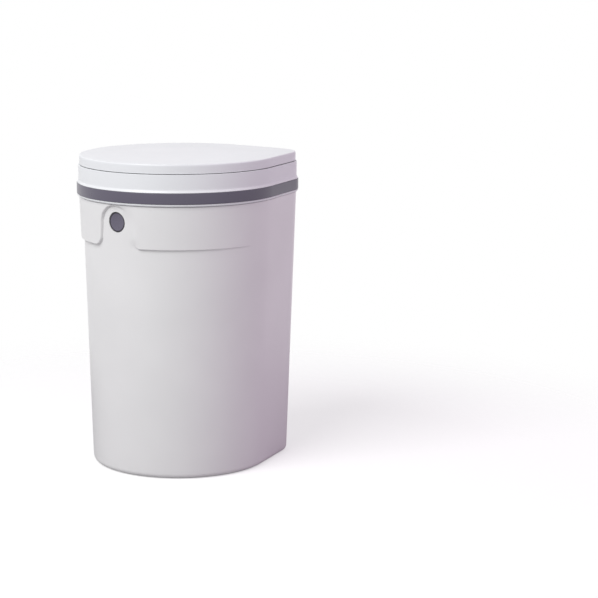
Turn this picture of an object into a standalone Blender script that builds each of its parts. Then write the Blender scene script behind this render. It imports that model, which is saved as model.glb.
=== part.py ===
"""Nappy bin with a hinged head, a hinged lid, a push-button latch and a sprung trap under its refill.

Metres, +Z up. The origin is on the floor, on the axis of the round front. -Y is the front, with the
button; +Y is the flat back, with both hinges. The outline from above is a circle whose back right
quarter is drawn out to a rounded corner, so that it has a flat back and a flat side.
"""

import math

import bmesh
import bpy
from mathutils import Matrix, Vector

# Whole bin
HEIGHT = 0.460
SEAT_GAP = 0.0003
OVERRUN = 0.004
SHARP_ANGLE = math.radians(35)

# Heights of the main levels, each from the one above it
LID_HEIGHT = 0.0130
LID_SEAM = 0.0012
DECK_DROP = 0.0053
HEAD_HEIGHT = 0.0600
BELT_HEIGHT = 0.0632
LID_BOTTOM_Z = HEIGHT - LID_HEIGHT
COLLAR_TOP_Z = LID_BOTTOM_Z - LID_SEAM
DECK_Z = COLLAR_TOP_Z - DECK_DROP
RIM_Z = HEIGHT - HEAD_HEIGHT
BELT_Z = RIM_Z - BELT_HEIGHT

# Outline from above, at the tub's rim
FRONT_RADIUS = 0.1478
CORNER_SHARE = 0.3051
CORNER_RADIUS = FRONT_RADIUS * CORNER_SHARE
FLAT_TURN = math.radians(77.1)
FRONT_STEPS = 40
CORNER_STEPS = 8
FLAT_STEPS = 3

# Tub
TUB_WALL = 0.0026
TUB_FLOOR = 0.0035
BASE_INSET = 0.0146
BASE_EDGE = 0.0020
BASE_EDGE_SHARE = 0.3
RIM_EDGE = 0.0006
FLOOR_FILLET = 0.006
BELT_STEP = 0.0019
BELT_EDGE = 0.0012
BELT_EDGE_STEP_SHARE = 0.2
RECESS_DEPTH = 0.0015
RECESS_MARGIN = 0.014
CENTRE_BOSS_RADIUS = 0.030

# Rubber pads in the base recess
PAD_COUNT = 4
PAD_RADIUS = 0.011
PAD_MARGIN = 0.0082
PAD_RING_RADIUS = FRONT_RADIUS - BASE_INSET - RECESS_MARGIN - PAD_MARGIN - PAD_RADIUS
PAD_TURN = math.radians(45)

# Button and its round hole
BUTTON_X = 0.0018
BUTTON_DROP = 0.0264
BUTTON_Z = RIM_Z - BUTTON_DROP
BUTTON_RADIUS = 0.0145
BUTTON_CLEARANCE = 0.0003
BUTTON_SINK = 0.0011
BUTTON_FLANGE_RADIUS = 0.0165
BUTTON_FLANGE_THICK = 0.0010
BUTTON_DISH = 0.0006
BUTTON_DISH_SHARE = 0.8
BUTTON_TRAVEL = 0.0040
STEM_RADIUS = 0.0035
BUTTON_SEGMENTS = 40

# Thumb scoop round the button, cut into the belt
SCOOP_RADIUS = 0.018
SCOOP_X = -0.002
SCOOP_TOP_DROP = 0.0020
SCOOP_TOP_Z = RIM_Z - SCOOP_TOP_DROP
SCOOP_EDGE_LEAN = 0.26
SCOOP_CORNER_RADIUS = 0.011
SCOOP_RIGHT_X = 0.056
SCOOP_SKIN = 0.0001
SCOOP_FADE_START = 0.0175
SCOOP_FADE_TOP = 0.021
SCOOP_FADE_LOW_START = 0.036
SCOOP_FADE_LOW_END = 0.054
SCOOP_FADE_LOW_TURN = math.radians(131)
SCOOP_FADE_TOP_TURN = math.radians(20)
SCOOP_LEVELS = 11
SCOOP_COLUMN_SHARES = (0.0, 0.12, 0.24, 0.36, 0.46, 0.56, 0.66, 0.77, 0.88, 1.0)

# Head shell
PARTING_GAP = 0.0006
SPIGOT_DEPTH = 0.0062
SPIGOT_CLEARANCE = 0.0010
SPIGOT_WALL = 0.0024
LIP_REACH = 0.0028
LIP_BOTTOM_REACH = 0.0003
LIP_HEIGHT = 0.0030
HEAD_FLOOR = 0.0026
BAND_HEIGHT = 0.0162
BAND_THICK = 0.0023
BAND_REACH = 0.0036
BAND_EDGE_SHARE = 0.25
BAND_OPENING_DEPTH = 0.0076
FLARE_HEIGHT = 0.0036
FLARE_KNEE_HEIGHT_SHARE = 0.35
FLARE_KNEE_REACH_SHARE = 0.45
COLLAR_REACH = 0.0008
COLLAR_EDGE = 0.0008
HEAD_WALL = 0.0026
DECK_THICK = 0.0025

# Lid
LID_REACH = -0.0009
LID_EDGE = 0.0030
LID_EDGE_SHARES = ((1.0, 0.0), (0.5, 0.13), (0.13, 0.5), (0.0, 1.0))
LID_CROWN = 0.0006
LID_CROWN_SHARE = 0.18
LID_WALL = 0.0026
LINER_THICK = 0.0020
PLUG_THICK = 0.0040
PLUG_STAND = 0.0035
SEAL_HEIGHT = 0.0018
LINER_BOSS_RADIUS = 0.0040
LINER_SCREW_STAND = 0.0080
LINER_SCREW_TURNS = (math.radians(-100), math.radians(0), math.radians(100))

# Hinges on the flat back
HINGE_X = FRONT_RADIUS * 0.1353
HEAD_AXIS_OUT = 0.0106
HEAD_BARREL_RADIUS = 0.0050
HEAD_BARREL_HALF = FRONT_RADIUS * 0.203
TUB_EAR_WIDTH = FRONT_RADIUS * 0.0947
LID_AXIS_OUT = 0.0062
LID_BARREL_RADIUS = 0.0040
LID_BARREL_HALF = FRONT_RADIUS * 0.0981
HEAD_EAR_WIDTH = FRONT_RADIUS * 0.0812
BARREL_GAP = 0.0005
ARM_INSET = 0.0004
PIN_RADIUS = 0.0015
PIN_CLEARANCE = 0.0003
EAR_THICK = 0.0070
BARREL_SEGMENTS = 24

# Refill cassette
REFILL_OUTER_SHARE = 0.6258
REFILL_INNER_SHARE = 0.6811
REFILL_OUTER_RADIUS = FRONT_RADIUS * REFILL_OUTER_SHARE
REFILL_INNER_RADIUS = REFILL_OUTER_RADIUS * REFILL_INNER_SHARE
REFILL_HEIGHT = 0.0620
CARD_THICK = 0.0012
FILM_BULGE = 0.0105
FILM_RIPPLE = 0.0011
FILM_PLEATS = 36
FILM_POINTS_PER_PLEAT = 2
FILM_ARC_STEPS = 6
PAPER_THICK = 0.0004
PAPER_WIDTH = 0.025
PAPER_DROP = 0.020
PAPER_COUNT = 4
PAPER_ARC_STEPS = 8
REFILL_SEGMENTS = 48

# Well for the refill, and the throat in its floor
REFILL_CLEARANCE = 0.0020
WELL_RADIUS = REFILL_OUTER_RADIUS + REFILL_CLEARANCE
WELL_WALL = 0.0025
WELL_CLEARANCE = 0.0007
WELL_FLANGE_WIDTH = 0.0170
WELL_FLANGE_THICK = 0.0020
WELL_FLOOR_THICK = 0.0024
FILM_ROOM = 0.0014
THROAT_STAND = 0.0050
THROAT_RADIUS = REFILL_INNER_RADIUS - THROAT_STAND
THROAT_WALL = 0.0024
THROAT_RISE = 0.0160
THROAT_DROP = 0.0100
WELL_SEGMENTS = 48
FLANGE_SCREW_INSET = 0.0045
FLANGE_SCREW_TURNS = (math.radians(-60), math.radians(60), math.radians(180))

# Trap under the throat
TRAP_SIDE_STAND = 0.0120
TRAP_END_STAND = 0.0030
TRAP_HALF_X = THROAT_RADIUS + TRAP_SIDE_STAND
TRAP_HALF_Y = THROAT_RADIUS + TRAP_END_STAND
TRAP_WALL = 0.0025
TRAP_DEPTH = 0.0160
TRAP_PLATE = 0.0025
TRAP_EDGE = 0.0005
JAW_AXIS_STAND = 0.0060
JAW_AXIS_X = THROAT_RADIUS + JAW_AXIS_STAND
JAW_DROP = 0.0089
JAW_THICK = 0.0024
JAW_BARREL_RADIUS = 0.0030
JAW_END_GAP = 0.0010
JAW_MEETING_GAP = 0.0006
JAW_RIB_HEIGHT = 0.0040
JAW_RIB_THICK = 0.0016
JAW_RIB_SHARES = (-0.62, 0.0, 0.62)
JAW_NOTCH = 0.024
JAW_NOTCH_START_SHARE = 1.5
JAW_LIP_WIDTH = 0.0050
JAW_LIP_THICK = 0.0015
JAW_LIP_EDGE = 0.0004
TRAP_PIN_RADIUS = 0.0010
TRAP_SCREW_STAND = 0.0140
TRAP_SCREW_RADIUS = THROAT_RADIUS + TRAP_SCREW_STAND
TRAP_SCREW_TURNS = (math.radians(45), math.radians(135), math.radians(225), math.radians(315))
BOSS_RADIUS = 0.0040

# Springs
WIRE_RADIUS = 0.0004
JAW_COIL_RADIUS = 0.0019
JAW_COIL_TURNS = 5
JAW_COIL_PITCH = 0.0021
JAW_LEG = 0.012
BUTTON_COIL_RADIUS = 0.0045
BUTTON_COIL_TURNS = 5
BUTTON_WIRE_RADIUS = 0.00045
COIL_POINTS = 8

# Latch behind the button
KEEPER_THICK = 0.0025
KEEPER_HALF = 0.0090
KEEPER_CLEARANCE = 0.0007
KEEPER_ABOVE_BUTTON = 0.0010
KEEPER_FOOT_HALF = 0.0120
KEEPER_FOOT_THICK = 0.0025
KEEPER_SCREW_SHARE = 0.55
TOOTH_REACH = 0.0020
TOOTH_HEIGHT = 0.0028
SLIDER_THICK = 0.0025
SLIDER_HALF = 0.0100
SLIDER_GAP = 0.0049
SLIDER_CLEARANCE = 0.0005
NOSE_HEIGHT = 0.0028
HOUSING_WALL = 0.0025
SPRING_SHUT_LENGTH = 0.0070
HOUSING_SPRING_ROOM = BUTTON_TRAVEL + SPRING_SHUT_LENGTH
HOUSING_BELOW = 0.0202
HOUSING_BACK_TOP = 0.0160
TAB_HEIGHT = 0.0110
TAB_HALF = 0.0170
TAB_SCREW_X = 0.0120
TAB_STAND = 0.0044

# Film cutter on the deck, in the corner
CUTTER_LENGTH = 0.044
CUTTER_DEPTH = 0.018
CUTTER_HEIGHT = 0.0044
CUTTER_STAND = 0.023
CUTTER_EDGE = 0.0005
CUTTER_MOUTH = 0.011
CUTTER_NOTCH = 0.011
CUTTER_THROAT = 0.002
BLADE_THICK = 0.0006
BLADE_LENGTH = 0.026
BLADE_DEPTH = 0.013
CUTTER_SCREW_SHARE = 0.38

# Screws
SCREW_RADIUS = 0.0014
SCREW_HEAD_RADIUS = 0.0029
SCREW_HEAD_HEIGHT = 0.0018
SCREW_SLOT = 0.0007
SCREW_CLEARANCE = 0.0003
SCREW_LENGTH = 0.0070
SCREW_SEGMENTS = 10

# Values that follow from those above
CORNER_TURN = math.pi - FLAT_TURN / 2
CORNER_SPREAD = (FRONT_RADIUS - CORNER_RADIUS) / math.cos(FLAT_TURN / 2)
CORNER_WAY = Vector((math.sin(CORNER_TURN), -math.cos(CORNER_TURN)))
HEAD_BOTTOM_Z = RIM_Z + PARTING_GAP
BAND_BOTTOM_Z = HEAD_BOTTOM_Z + LIP_HEIGHT
BAND_TOP_Z = BAND_BOTTOM_Z + BAND_HEIGHT
HEAD_FLOOR_Z = HEAD_BOTTOM_Z + HEAD_FLOOR
FLANGE_TOP_Z = DECK_Z + SEAT_GAP + WELL_FLANGE_THICK
WELL_OUTER = WELL_RADIUS + WELL_WALL
WELL_FLANGE_RADIUS = WELL_OUTER + WELL_FLANGE_WIDTH
WELL_SEAT_Z = FLANGE_TOP_Z - FILM_ROOM - FILM_BULGE - REFILL_HEIGHT - SEAT_GAP
WELL_FLOOR_Z = WELL_SEAT_Z - WELL_FLOOR_THICK
FLANGE_SCREW_RADIUS = WELL_FLANGE_RADIUS - FLANGE_SCREW_INSET
PLUG_RADIUS = WELL_OUTER + PLUG_STAND
LINER_SCREW_RADIUS = WELL_FLANGE_RADIUS + LINER_SCREW_STAND
CUTTER_REACH = WELL_FLANGE_RADIUS + CUTTER_STAND
THROAT_BOTTOM_Z = WELL_FLOOR_Z - THROAT_DROP
TRAP_TOP_Z = THROAT_BOTTOM_Z - SEAT_GAP
JAW_AXIS_Z = TRAP_TOP_Z - JAW_DROP
HEAD_AXIS_Y = FRONT_RADIUS + HEAD_AXIS_OUT
HEAD_AXIS_Z = RIM_Z + PARTING_GAP / 2
LID_AXIS_Y = FRONT_RADIUS + LID_AXIS_OUT
LID_AXIS_Z = COLLAR_TOP_Z + LID_SEAM / 2
LINER_BOTTOM_Z = LID_BOTTOM_Z + SEAT_GAP
LINER_TOP_Z = LINER_BOTTOM_Z + LINER_THICK
SEAL_BOTTOM_Z = FLANGE_TOP_Z + SEAT_GAP
SEAL_TOP_Z = SEAL_BOTTOM_Z + SEAL_HEIGHT


def start_scene():
    """Empty the scene and make a collection for the parts and one for the cutters."""
    for old in list(bpy.data.objects):
        bpy.data.objects.remove(old, do_unlink=True)
    parts = bpy.data.collections.new("nappy_bin")
    cutters = bpy.data.collections.new("cutters")
    bpy.context.scene.collection.children.link(parts)
    bpy.context.scene.collection.children.link(cutters)
    return parts, cutters


PARTS, CUTTERS = start_scene()


def make_material(name, colour, roughness, metallic=0.0):
    made = bpy.data.materials.new(name)
    made.use_nodes = True
    shader = made.node_tree.nodes["Principled BSDF"]
    shader.inputs["Base Color"].default_value = (*colour, 1.0)
    shader.inputs["Roughness"].default_value = roughness
    shader.inputs["Metallic"].default_value = metallic
    return made


WHITE = make_material("white_shell", (0.83, 0.83, 0.84), 0.38)
INNER_WHITE = make_material("inner_white", (0.78, 0.78, 0.79), 0.45)
GREY = make_material("grey_trim", (0.14, 0.13, 0.17), 0.45)
DARK = make_material("dark_latch", (0.09, 0.09, 0.10), 0.5)
RUBBER = make_material("soft_rubber", (0.30, 0.30, 0.32), 0.8)
STEEL = make_material("steel", (0.62, 0.62, 0.64), 0.3, 1.0)
CARD = make_material("card", (0.62, 0.61, 0.68), 0.85)
FILM = make_material("film", (0.90, 0.90, 0.91), 0.5)
PAPER = make_material("paper", (0.93, 0.93, 0.92), 0.8)


def add_part(name, mesh, material):
    """A finished piece: one node, shaded smooth but for its sharp edges."""
    made = bpy.data.objects.new(name, mesh)
    PARTS.objects.link(made)
    if material:
        mesh.materials.append(material)
    mesh.shade_smooth()
    mesh.set_sharp_from_angle(angle=SHARP_ANGLE)
    return made


def add_tool(name, mesh):
    """A shape that only cuts, or is joined to, a piece."""
    made = bpy.data.objects.new(name, mesh)
    CUTTERS.objects.link(made)
    made.hide_render = True
    made.display_type = "WIRE"
    return made


def boolean(target, tool, operation):
    change = target.modifiers.new(f"{operation.lower()}_{tool.name}", "BOOLEAN")
    change.operation = operation
    change.solver = "EXACT"
    change.object = tool


def cut(target, *tools):
    for tool in tools:
        boolean(target, tool, "DIFFERENCE")


def join(target, *tools):
    for tool in tools:
        boolean(target, tool, "UNION")


def mesh_from(name, made):
    mesh = bpy.data.meshes.new(name)
    made.to_mesh(mesh)
    made.free()
    return mesh


def box_mesh(name, low, high, edge=0.0):
    """A box between two corners, with its edges cut off where it has an edge width."""
    made = bmesh.new()
    bmesh.ops.create_cube(made, size=1.0)
    size = Vector(high) - Vector(low)
    middle = (Vector(high) + Vector(low)) / 2
    place = Matrix.Translation(middle) @ Matrix.Diagonal((*size, 1.0))
    bmesh.ops.transform(made, matrix=place, verts=made.verts)
    if edge:
        bmesh.ops.bevel(made, geom=list(made.edges), offset=edge, segments=1, affect="EDGES")
    return mesh_from(name, made)


def rod_mesh(name, start, end, radius, segments=BARREL_SEGMENTS, end_radius=None):
    """A cylinder or a cone from one point to another."""
    start, end = Vector(start), Vector(end)
    way = end - start
    made = bmesh.new()
    bmesh.ops.create_cone(
        made,
        cap_ends=True,
        segments=segments,
        radius1=radius,
        radius2=radius if end_radius is None else end_radius,
        depth=way.length,
    )
    turn = Vector((0, 0, 1)).rotation_difference(way).to_matrix().to_4x4()
    bmesh.ops.transform(made, matrix=Matrix.Translation((start + end) / 2) @ turn, verts=made.verts)
    return mesh_from(name, made)


def loft_mesh(name, rings, ring_shaped=False):
    """Skin through rings of as many points each: capped at both ends, or closed on itself."""
    made = bmesh.new()
    rows = [[made.verts.new(point) for point in ring] for ring in rings]
    count = len(rows[0])
    pairs = list(zip(rows, rows[1:]))
    if ring_shaped:
        pairs.append((rows[-1], rows[0]))
    for low, high in pairs:
        for i in range(count):
            j = (i + 1) % count
            made.faces.new((low[i], low[j], high[j], high[i]))
    if not ring_shaped:
        made.faces.new(rows[0][::-1])
        made.faces.new(rows[-1])
    return mesh_from(name, made)


def turned(name, profile, segments, material=None, axis="Z"):
    """A profile of (radius, place along the axis) turned round an axis: a piece if it has a material.

    The profile is closed, unless it starts and ends on the axis.
    """
    mesh = bpy.data.meshes.new(name)
    if axis == "Z":
        points = [(radius, 0.0, along) for radius, along in profile]
    else:
        points = [(radius, along, 0.0) for radius, along in profile]
    edges = [(i, i + 1) for i in range(len(points) - 1)]
    if profile[0][0] > 0:
        edges.append((len(points) - 1, 0))
    mesh.from_pydata(points, edges, [])
    made = add_part(name, mesh, material) if material else add_tool(name, mesh)
    turn = made.modifiers.new("turn", "SCREW")
    turn.axis = axis
    turn.angle = math.tau
    turn.steps = segments
    turn.render_steps = segments
    turn.use_merge_vertices = True
    turn.merge_threshold = 0.00001
    turn.use_smooth_shade = True
    return made


def on_circle(radius, turn, height=0.0):
    """A point at a turn from the front (-Y) towards +X."""
    return Vector((radius * math.sin(turn), -radius * math.cos(turn), height))


def wire(name, points, radius, material):
    """A wire through points, with closed ends."""
    curve = bpy.data.curves.new(name, "CURVE")
    curve.dimensions = "3D"
    curve.bevel_depth = radius
    curve.bevel_resolution = 1
    curve.use_fill_caps = True
    spline = curve.splines.new("POLY")
    spline.points.add(len(points) - 1)
    for spot, point in zip(spline.points, points):
        spot.co = (*point, 1.0)
    curve.materials.append(material)
    made = bpy.data.objects.new(name, curve)
    PARTS.objects.link(made)
    return made


def plan(z, reach=0.0, shrink=0.0):
    """The bin's outline from above at a height, moved out by reach.

    Shrink draws in only the round front: its circle gets smaller and its centre moves towards the
    corner, so that both flats stay where they are.
    """
    shift = CORNER_WAY * (shrink / math.cos(FLAT_TURN / 2))
    corner = CORNER_WAY * CORNER_SPREAD
    radius = FRONT_RADIUS + reach - shrink
    corner_radius = CORNER_RADIUS + reach
    side_turn = math.pi - FLAT_TURN
    points = []
    for i in range(FRONT_STEPS + 1):
        turn = -math.pi + (side_turn + math.pi) * i / FRONT_STEPS
        points.append(shift + Vector((radius * math.sin(turn), -radius * math.cos(turn))))
    arc = []
    for i in range(CORNER_STEPS + 1):
        turn = side_turn + FLAT_TURN * i / CORNER_STEPS
        arc.append(corner + Vector((corner_radius * math.sin(turn), -corner_radius * math.cos(turn))))
    side = [points[-1].lerp(arc[0], i / (FLAT_STEPS + 1)) for i in range(1, FLAT_STEPS + 1)]
    back = [arc[-1].lerp(points[0], i / (FLAT_STEPS + 1)) for i in range(1, FLAT_STEPS + 1)]
    return [(point.x, point.y, z) for point in points + side + arc + back]


def round_plan(z, radius):
    """A circle with a point for each point of the bin's outline, for lofts between the two."""
    ring = []
    for x, y, _ in plan(z):
        ring.append(on_circle(radius, math.atan2(x, -y), z))
    return ring


def draft(z):
    """How far the tub's wall leans in at a height."""
    return -BASE_INSET * (1 - z / RIM_Z)


def front_shrink(z):
    """How far the round front lies behind the belt: not at all at the floor, all of it at the belt."""
    return BELT_STEP * min(z / BELT_Z, 1.0)


def lower_front_y(x, z):
    """The front of the tub below the belt, carried on upwards, at a place across."""
    shrink = front_shrink(z)
    shift = CORNER_WAY * (shrink / math.cos(FLAT_TURN / 2))
    radius = FRONT_RADIUS + draft(z) - shrink
    return shift.y - math.sqrt(radius**2 - (x - shift.x) ** 2)


def belt_front_y(x, z):
    radius = FRONT_RADIUS + draft(z)
    return -math.sqrt(radius**2 - x**2)


def scoop_left(z):
    """The scoop's left edge at a height: a rounded lower corner, a leaning side and a round arch."""
    arch_z = SCOOP_TOP_Z - SCOOP_RADIUS
    if z > arch_z:
        return SCOOP_X - math.sqrt(max(SCOOP_RADIUS**2 - (z - arch_z) ** 2, 0.0))
    side = SCOOP_X - SCOOP_RADIUS - (arch_z - z) * SCOOP_EDGE_LEAN
    corner_z = BELT_Z + SCOOP_CORNER_RADIUS
    if z < corner_z:
        below = min((corner_z - z) / SCOOP_CORNER_RADIUS, 1.0)
        side -= SCOOP_CORNER_RADIUS * (1 - math.sqrt(1 - below**2))
    return side


def scoop_fade(x, z):
    """0 where the scoop is at its full depth, 1 where it has run out into the belt, towards the right."""
    across, up = x - BUTTON_X, z - BUTTON_Z
    turn = math.atan2(across, up)
    if turn <= 0:
        return 0.0
    low_share = max(turn - math.pi / 2, 0.0) / (SCOOP_FADE_LOW_TURN - math.pi / 2)
    start = SCOOP_FADE_START + (SCOOP_FADE_LOW_START - SCOOP_FADE_START) * min(low_share, 1.0)
    turn_share = (turn - SCOOP_FADE_TOP_TURN) / (SCOOP_FADE_LOW_TURN - SCOOP_FADE_TOP_TURN)
    end = SCOOP_FADE_TOP + (SCOOP_FADE_LOW_END - SCOOP_FADE_TOP) * min(max(turn_share, 0.0), 1.0)
    out = min(max((math.hypot(across, up) - start) / (end - start), 0.0), 1.0)
    top_share = min(turn / SCOOP_FADE_TOP_TURN, 1.0)
    return out * out * (3 - 2 * out) * top_share


def scoop_slice(z):
    left = scoop_left(z)
    inner = []
    for share in SCOOP_COLUMN_SHARES:
        x = left + (SCOOP_RIGHT_X - left) * share
        fade = scoop_fade(x, z)
        deep = lower_front_y(x, z) - SCOOP_SKIN
        shallow = belt_front_y(x, z) - SCOOP_SKIN
        inner.append((x, deep + (shallow - deep) * fade, z))
    far_y = -FRONT_RADIUS - OVERRUN
    return [(left, far_y, z), (SCOOP_RIGHT_X, far_y, z), *inner[::-1]]


def scoop_cutter():
    """The scoop's solid, with its slices closer together towards the top of the arch."""
    low = BELT_Z - BELT_EDGE
    rise = SCOOP_TOP_Z - low
    levels = [low + rise * math.sin(math.pi / 2 * i / SCOOP_LEVELS) for i in range(SCOOP_LEVELS + 1)]
    return add_tool("scoop_cutter", loft_mesh("scoop_cutter", [scoop_slice(z) for z in levels]))


def hinge_barrel(name, axis_y, axis_z, radius, start_x, end_x, wall_y, low_z, high_z):
    """A hinge knuckle: a round barrel on the axis, and the arm that carries it out from a wall."""
    start, end = (start_x, axis_y, axis_z), (end_x, axis_y, axis_z)
    barrel = add_tool(f"{name}_barrel", rod_mesh(name, start, end, radius))
    arm_low, arm_high = (start_x + ARM_INSET, wall_y, low_z), (end_x - ARM_INSET, axis_y, high_z)
    arm = add_tool(f"{name}_arm", box_mesh(name, arm_low, arm_high))
    return barrel, arm


def pin_bore(name, axis_y, axis_z, reach):
    radius = PIN_RADIUS + PIN_CLEARANCE
    start = (HINGE_X - reach - OVERRUN, axis_y, axis_z)
    end = (HINGE_X + reach + OVERRUN, axis_y, axis_z)
    return add_tool(name, rod_mesh(name, start, end, radius, SCREW_SEGMENTS))


def screw(name, seat, way, length=SCREW_LENGTH):
    """A pan-head screw: its head sits on the seat, and its shank runs on along way."""
    seat, way = Vector(seat), Vector(way).normalized()
    under = seat - way * SEAT_GAP
    top = under - way * SCREW_HEAD_HEIGHT
    head = add_part(name, rod_mesh(name, top, under, SCREW_HEAD_RADIUS, SCREW_SEGMENTS), STEEL)
    shank_mesh = rod_mesh(name, under - way * SCREW_SLOT, seat + way * length, SCREW_RADIUS, SCREW_SEGMENTS)
    reach, half = SCREW_HEAD_RADIUS + OVERRUN, SCREW_SLOT / 2
    slot = box_mesh(name, (-reach, -half, -SCREW_SLOT), (reach, half, SCREW_SLOT))
    across = Vector((0, 0, 1)).rotation_difference(way).to_matrix().to_4x4()
    slot.transform(Matrix.Translation(top) @ across)
    join(head, add_tool(f"{name}_shank", shank_mesh))
    cut(head, add_tool(f"{name}_slot", slot))


def screw_hole(name, seat, way, length=SCREW_LENGTH):
    """A hole for that screw, from just before the seat to just past the shank's end."""
    seat, way = Vector(seat), Vector(way).normalized()
    start, end = seat - way * SEAT_GAP, seat + way * (length + SCREW_CLEARANCE)
    return add_tool(name, rod_mesh(name, start, end, SCREW_RADIUS + SCREW_CLEARANCE, SCREW_SEGMENTS))


def tub_body():
    """The white tub: a drafted shell with a belt round its top, a thumb scoop and two hinge ears."""
    floor_z = TUB_FLOOR
    outer = [
        plan(0.0, draft(0.0) - BASE_EDGE),
        plan(BASE_EDGE * BASE_EDGE_SHARE, draft(0.0) - BASE_EDGE * BASE_EDGE_SHARE),
        plan(BASE_EDGE, draft(BASE_EDGE), front_shrink(BASE_EDGE)),
        plan(BELT_Z, draft(BELT_Z), front_shrink(BELT_Z)),
        plan(BELT_Z + BELT_EDGE / 2, draft(BELT_Z), BELT_STEP * BELT_EDGE_STEP_SHARE),
        plan(BELT_Z + BELT_EDGE, draft(BELT_Z + BELT_EDGE)),
        plan(RIM_Z - RIM_EDGE, draft(RIM_Z - RIM_EDGE)),
        plan(RIM_Z, -RIM_EDGE),
    ]
    inner = [
        plan(RIM_Z, -TUB_WALL, BELT_STEP),
        plan(floor_z + FLOOR_FILLET, draft(FLOOR_FILLET) - TUB_WALL, front_shrink(FLOOR_FILLET)),
        plan(floor_z, draft(0.0) - TUB_WALL - FLOOR_FILLET),
    ]
    tub = add_part("tub_body", loft_mesh("tub_body", outer + inner), WHITE)
    recess_reach = draft(0.0) - RECESS_MARGIN
    recess_rings = [plan(-OVERRUN, recess_reach), plan(RECESS_DEPTH, recess_reach)]
    recess = add_tool("base_recess", loft_mesh("base_recess", recess_rings))
    boss = rod_mesh("centre_boss", (0, 0, -OVERRUN * 2), (0, 0, RECESS_DEPTH * 2), CENTRE_BOSS_RADIUS)
    cut(recess, add_tool("centre_boss", boss))
    cut(tub, recess, scoop_cutter())
    for side in (-1, 1):
        near = HINGE_X + side * (HEAD_BARREL_HALF + BARREL_GAP)
        far = near + side * TUB_EAR_WIDTH
        join(
            tub,
            *hinge_barrel(
                "tub_ear_left" if side < 0 else "tub_ear_right",
                HEAD_AXIS_Y,
                HEAD_AXIS_Z,
                HEAD_BARREL_RADIUS,
                min(near, far),
                max(near, far),
                FRONT_RADIUS - TUB_WALL,
                RIM_Z - EAR_THICK,
                RIM_Z - PARTING_GAP,
            ),
        )
        seat = tab_screw_seat(side)
        boss_start = Vector((seat.x, lower_front_y(seat.x, seat.z) + TUB_WALL / 2, seat.z))
        boss_end = Vector((seat.x, seat.y - HOUSING_WALL - SEAT_GAP, seat.z))
        tab_boss = rod_mesh("tab_boss", boss_start, boss_end, BOSS_RADIUS, SCREW_SEGMENTS)
        join(tub, add_tool(f"tab_boss_{side}", tab_boss))
        cut(tub, screw_hole(f"tab_hole_{side}", seat, (0, -1, 0)))
    hole_start = (BUTTON_X, -FRONT_RADIUS - OVERRUN, BUTTON_Z)
    hole_end = (BUTTON_X, inner_front_y() + OVERRUN, BUTTON_Z)
    hole = rod_mesh("button_hole", hole_start, hole_end, BUTTON_RADIUS + BUTTON_CLEARANCE, BUTTON_SEGMENTS)
    bore_reach = HEAD_BARREL_HALF + TUB_EAR_WIDTH
    cut(tub, add_tool("button_hole", hole))
    cut(tub, pin_bore("head_pin_bore_in_tub", HEAD_AXIS_Y, HEAD_AXIS_Z, bore_reach))


def inner_front_y():
    """The inner face of the tub's front wall at the button's middle."""
    return lower_front_y(BUTTON_X, BUTTON_Z) + TUB_WALL


def tab_front_y():
    """The front face of the latch housing's tab."""
    return inner_front_y() + TAB_STAND


def tab_screw_seat(side):
    z = BUTTON_Z - HOUSING_BELOW - TAB_HEIGHT / 2
    return Vector((BUTTON_X + side * TAB_SCREW_X, tab_front_y() + HOUSING_WALL, z))


def foot_pads():
    """Four rubber pads in the base recess, level with the tub's foot."""
    for i in range(PAD_COUNT):
        spot = on_circle(PAD_RING_RADIUS, PAD_TURN + math.tau * i / PAD_COUNT)
        top = spot + Vector((0, 0, RECESS_DEPTH - SEAT_GAP))
        add_part(f"foot_pad_{i + 1}", rod_mesh("foot_pad", spot, top, PAD_RADIUS), RUBBER)


def button_cap():
    """The round grey button: a dished cap, a flange that stops it behind the wall, and a stem."""
    front = lower_front_y(BUTTON_X, BUTTON_Z) + BUTTON_SINK
    flange_front = inner_front_y() + flange_relief()
    profile = [
        (0.0, front + BUTTON_DISH),
        (BUTTON_RADIUS * BUTTON_DISH_SHARE, front + BUTTON_DISH * (1 - BUTTON_DISH_SHARE)),
        (BUTTON_RADIUS - BUTTON_DISH, front),
        (BUTTON_RADIUS, front + BUTTON_DISH),
        (BUTTON_RADIUS, flange_front),
        (BUTTON_FLANGE_RADIUS, flange_front),
        (BUTTON_FLANGE_RADIUS, flange_front + BUTTON_FLANGE_THICK),
        (STEM_RADIUS, flange_front + BUTTON_FLANGE_THICK),
        (STEM_RADIUS, slider_front_y() - SEAT_GAP),
        (0.0, slider_front_y() - SEAT_GAP),
    ]
    cap = turned("button_cap", profile[::-1], BUTTON_SEGMENTS, GREY, axis="Y")
    cap.location = (BUTTON_X, 0.0, BUTTON_Z)


def flange_relief():
    """How far the flange stands off, so that its rim clears the curved wall."""
    drop = FRONT_RADIUS - math.sqrt(FRONT_RADIUS**2 - (BUTTON_FLANGE_RADIUS + BUTTON_X) ** 2)
    return drop + SEAT_GAP


def keeper_front_y():
    """The front of the keeper's leg, just inside the head's spigot."""
    spigot_inner = lower_front_y(0.0, RIM_Z) + TUB_WALL + SPIGOT_CLEARANCE + SPIGOT_WALL
    return spigot_inner + KEEPER_CLEARANCE


def tooth_tip_y():
    return keeper_front_y() + KEEPER_THICK + TOOTH_REACH


def slider_front_y():
    return tooth_tip_y() + SEAT_GAP + SLIDER_GAP


def keeper_bottom_z():
    return BUTTON_Z + BUTTON_FLANGE_RADIUS + KEEPER_ABOVE_BUTTON


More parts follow.
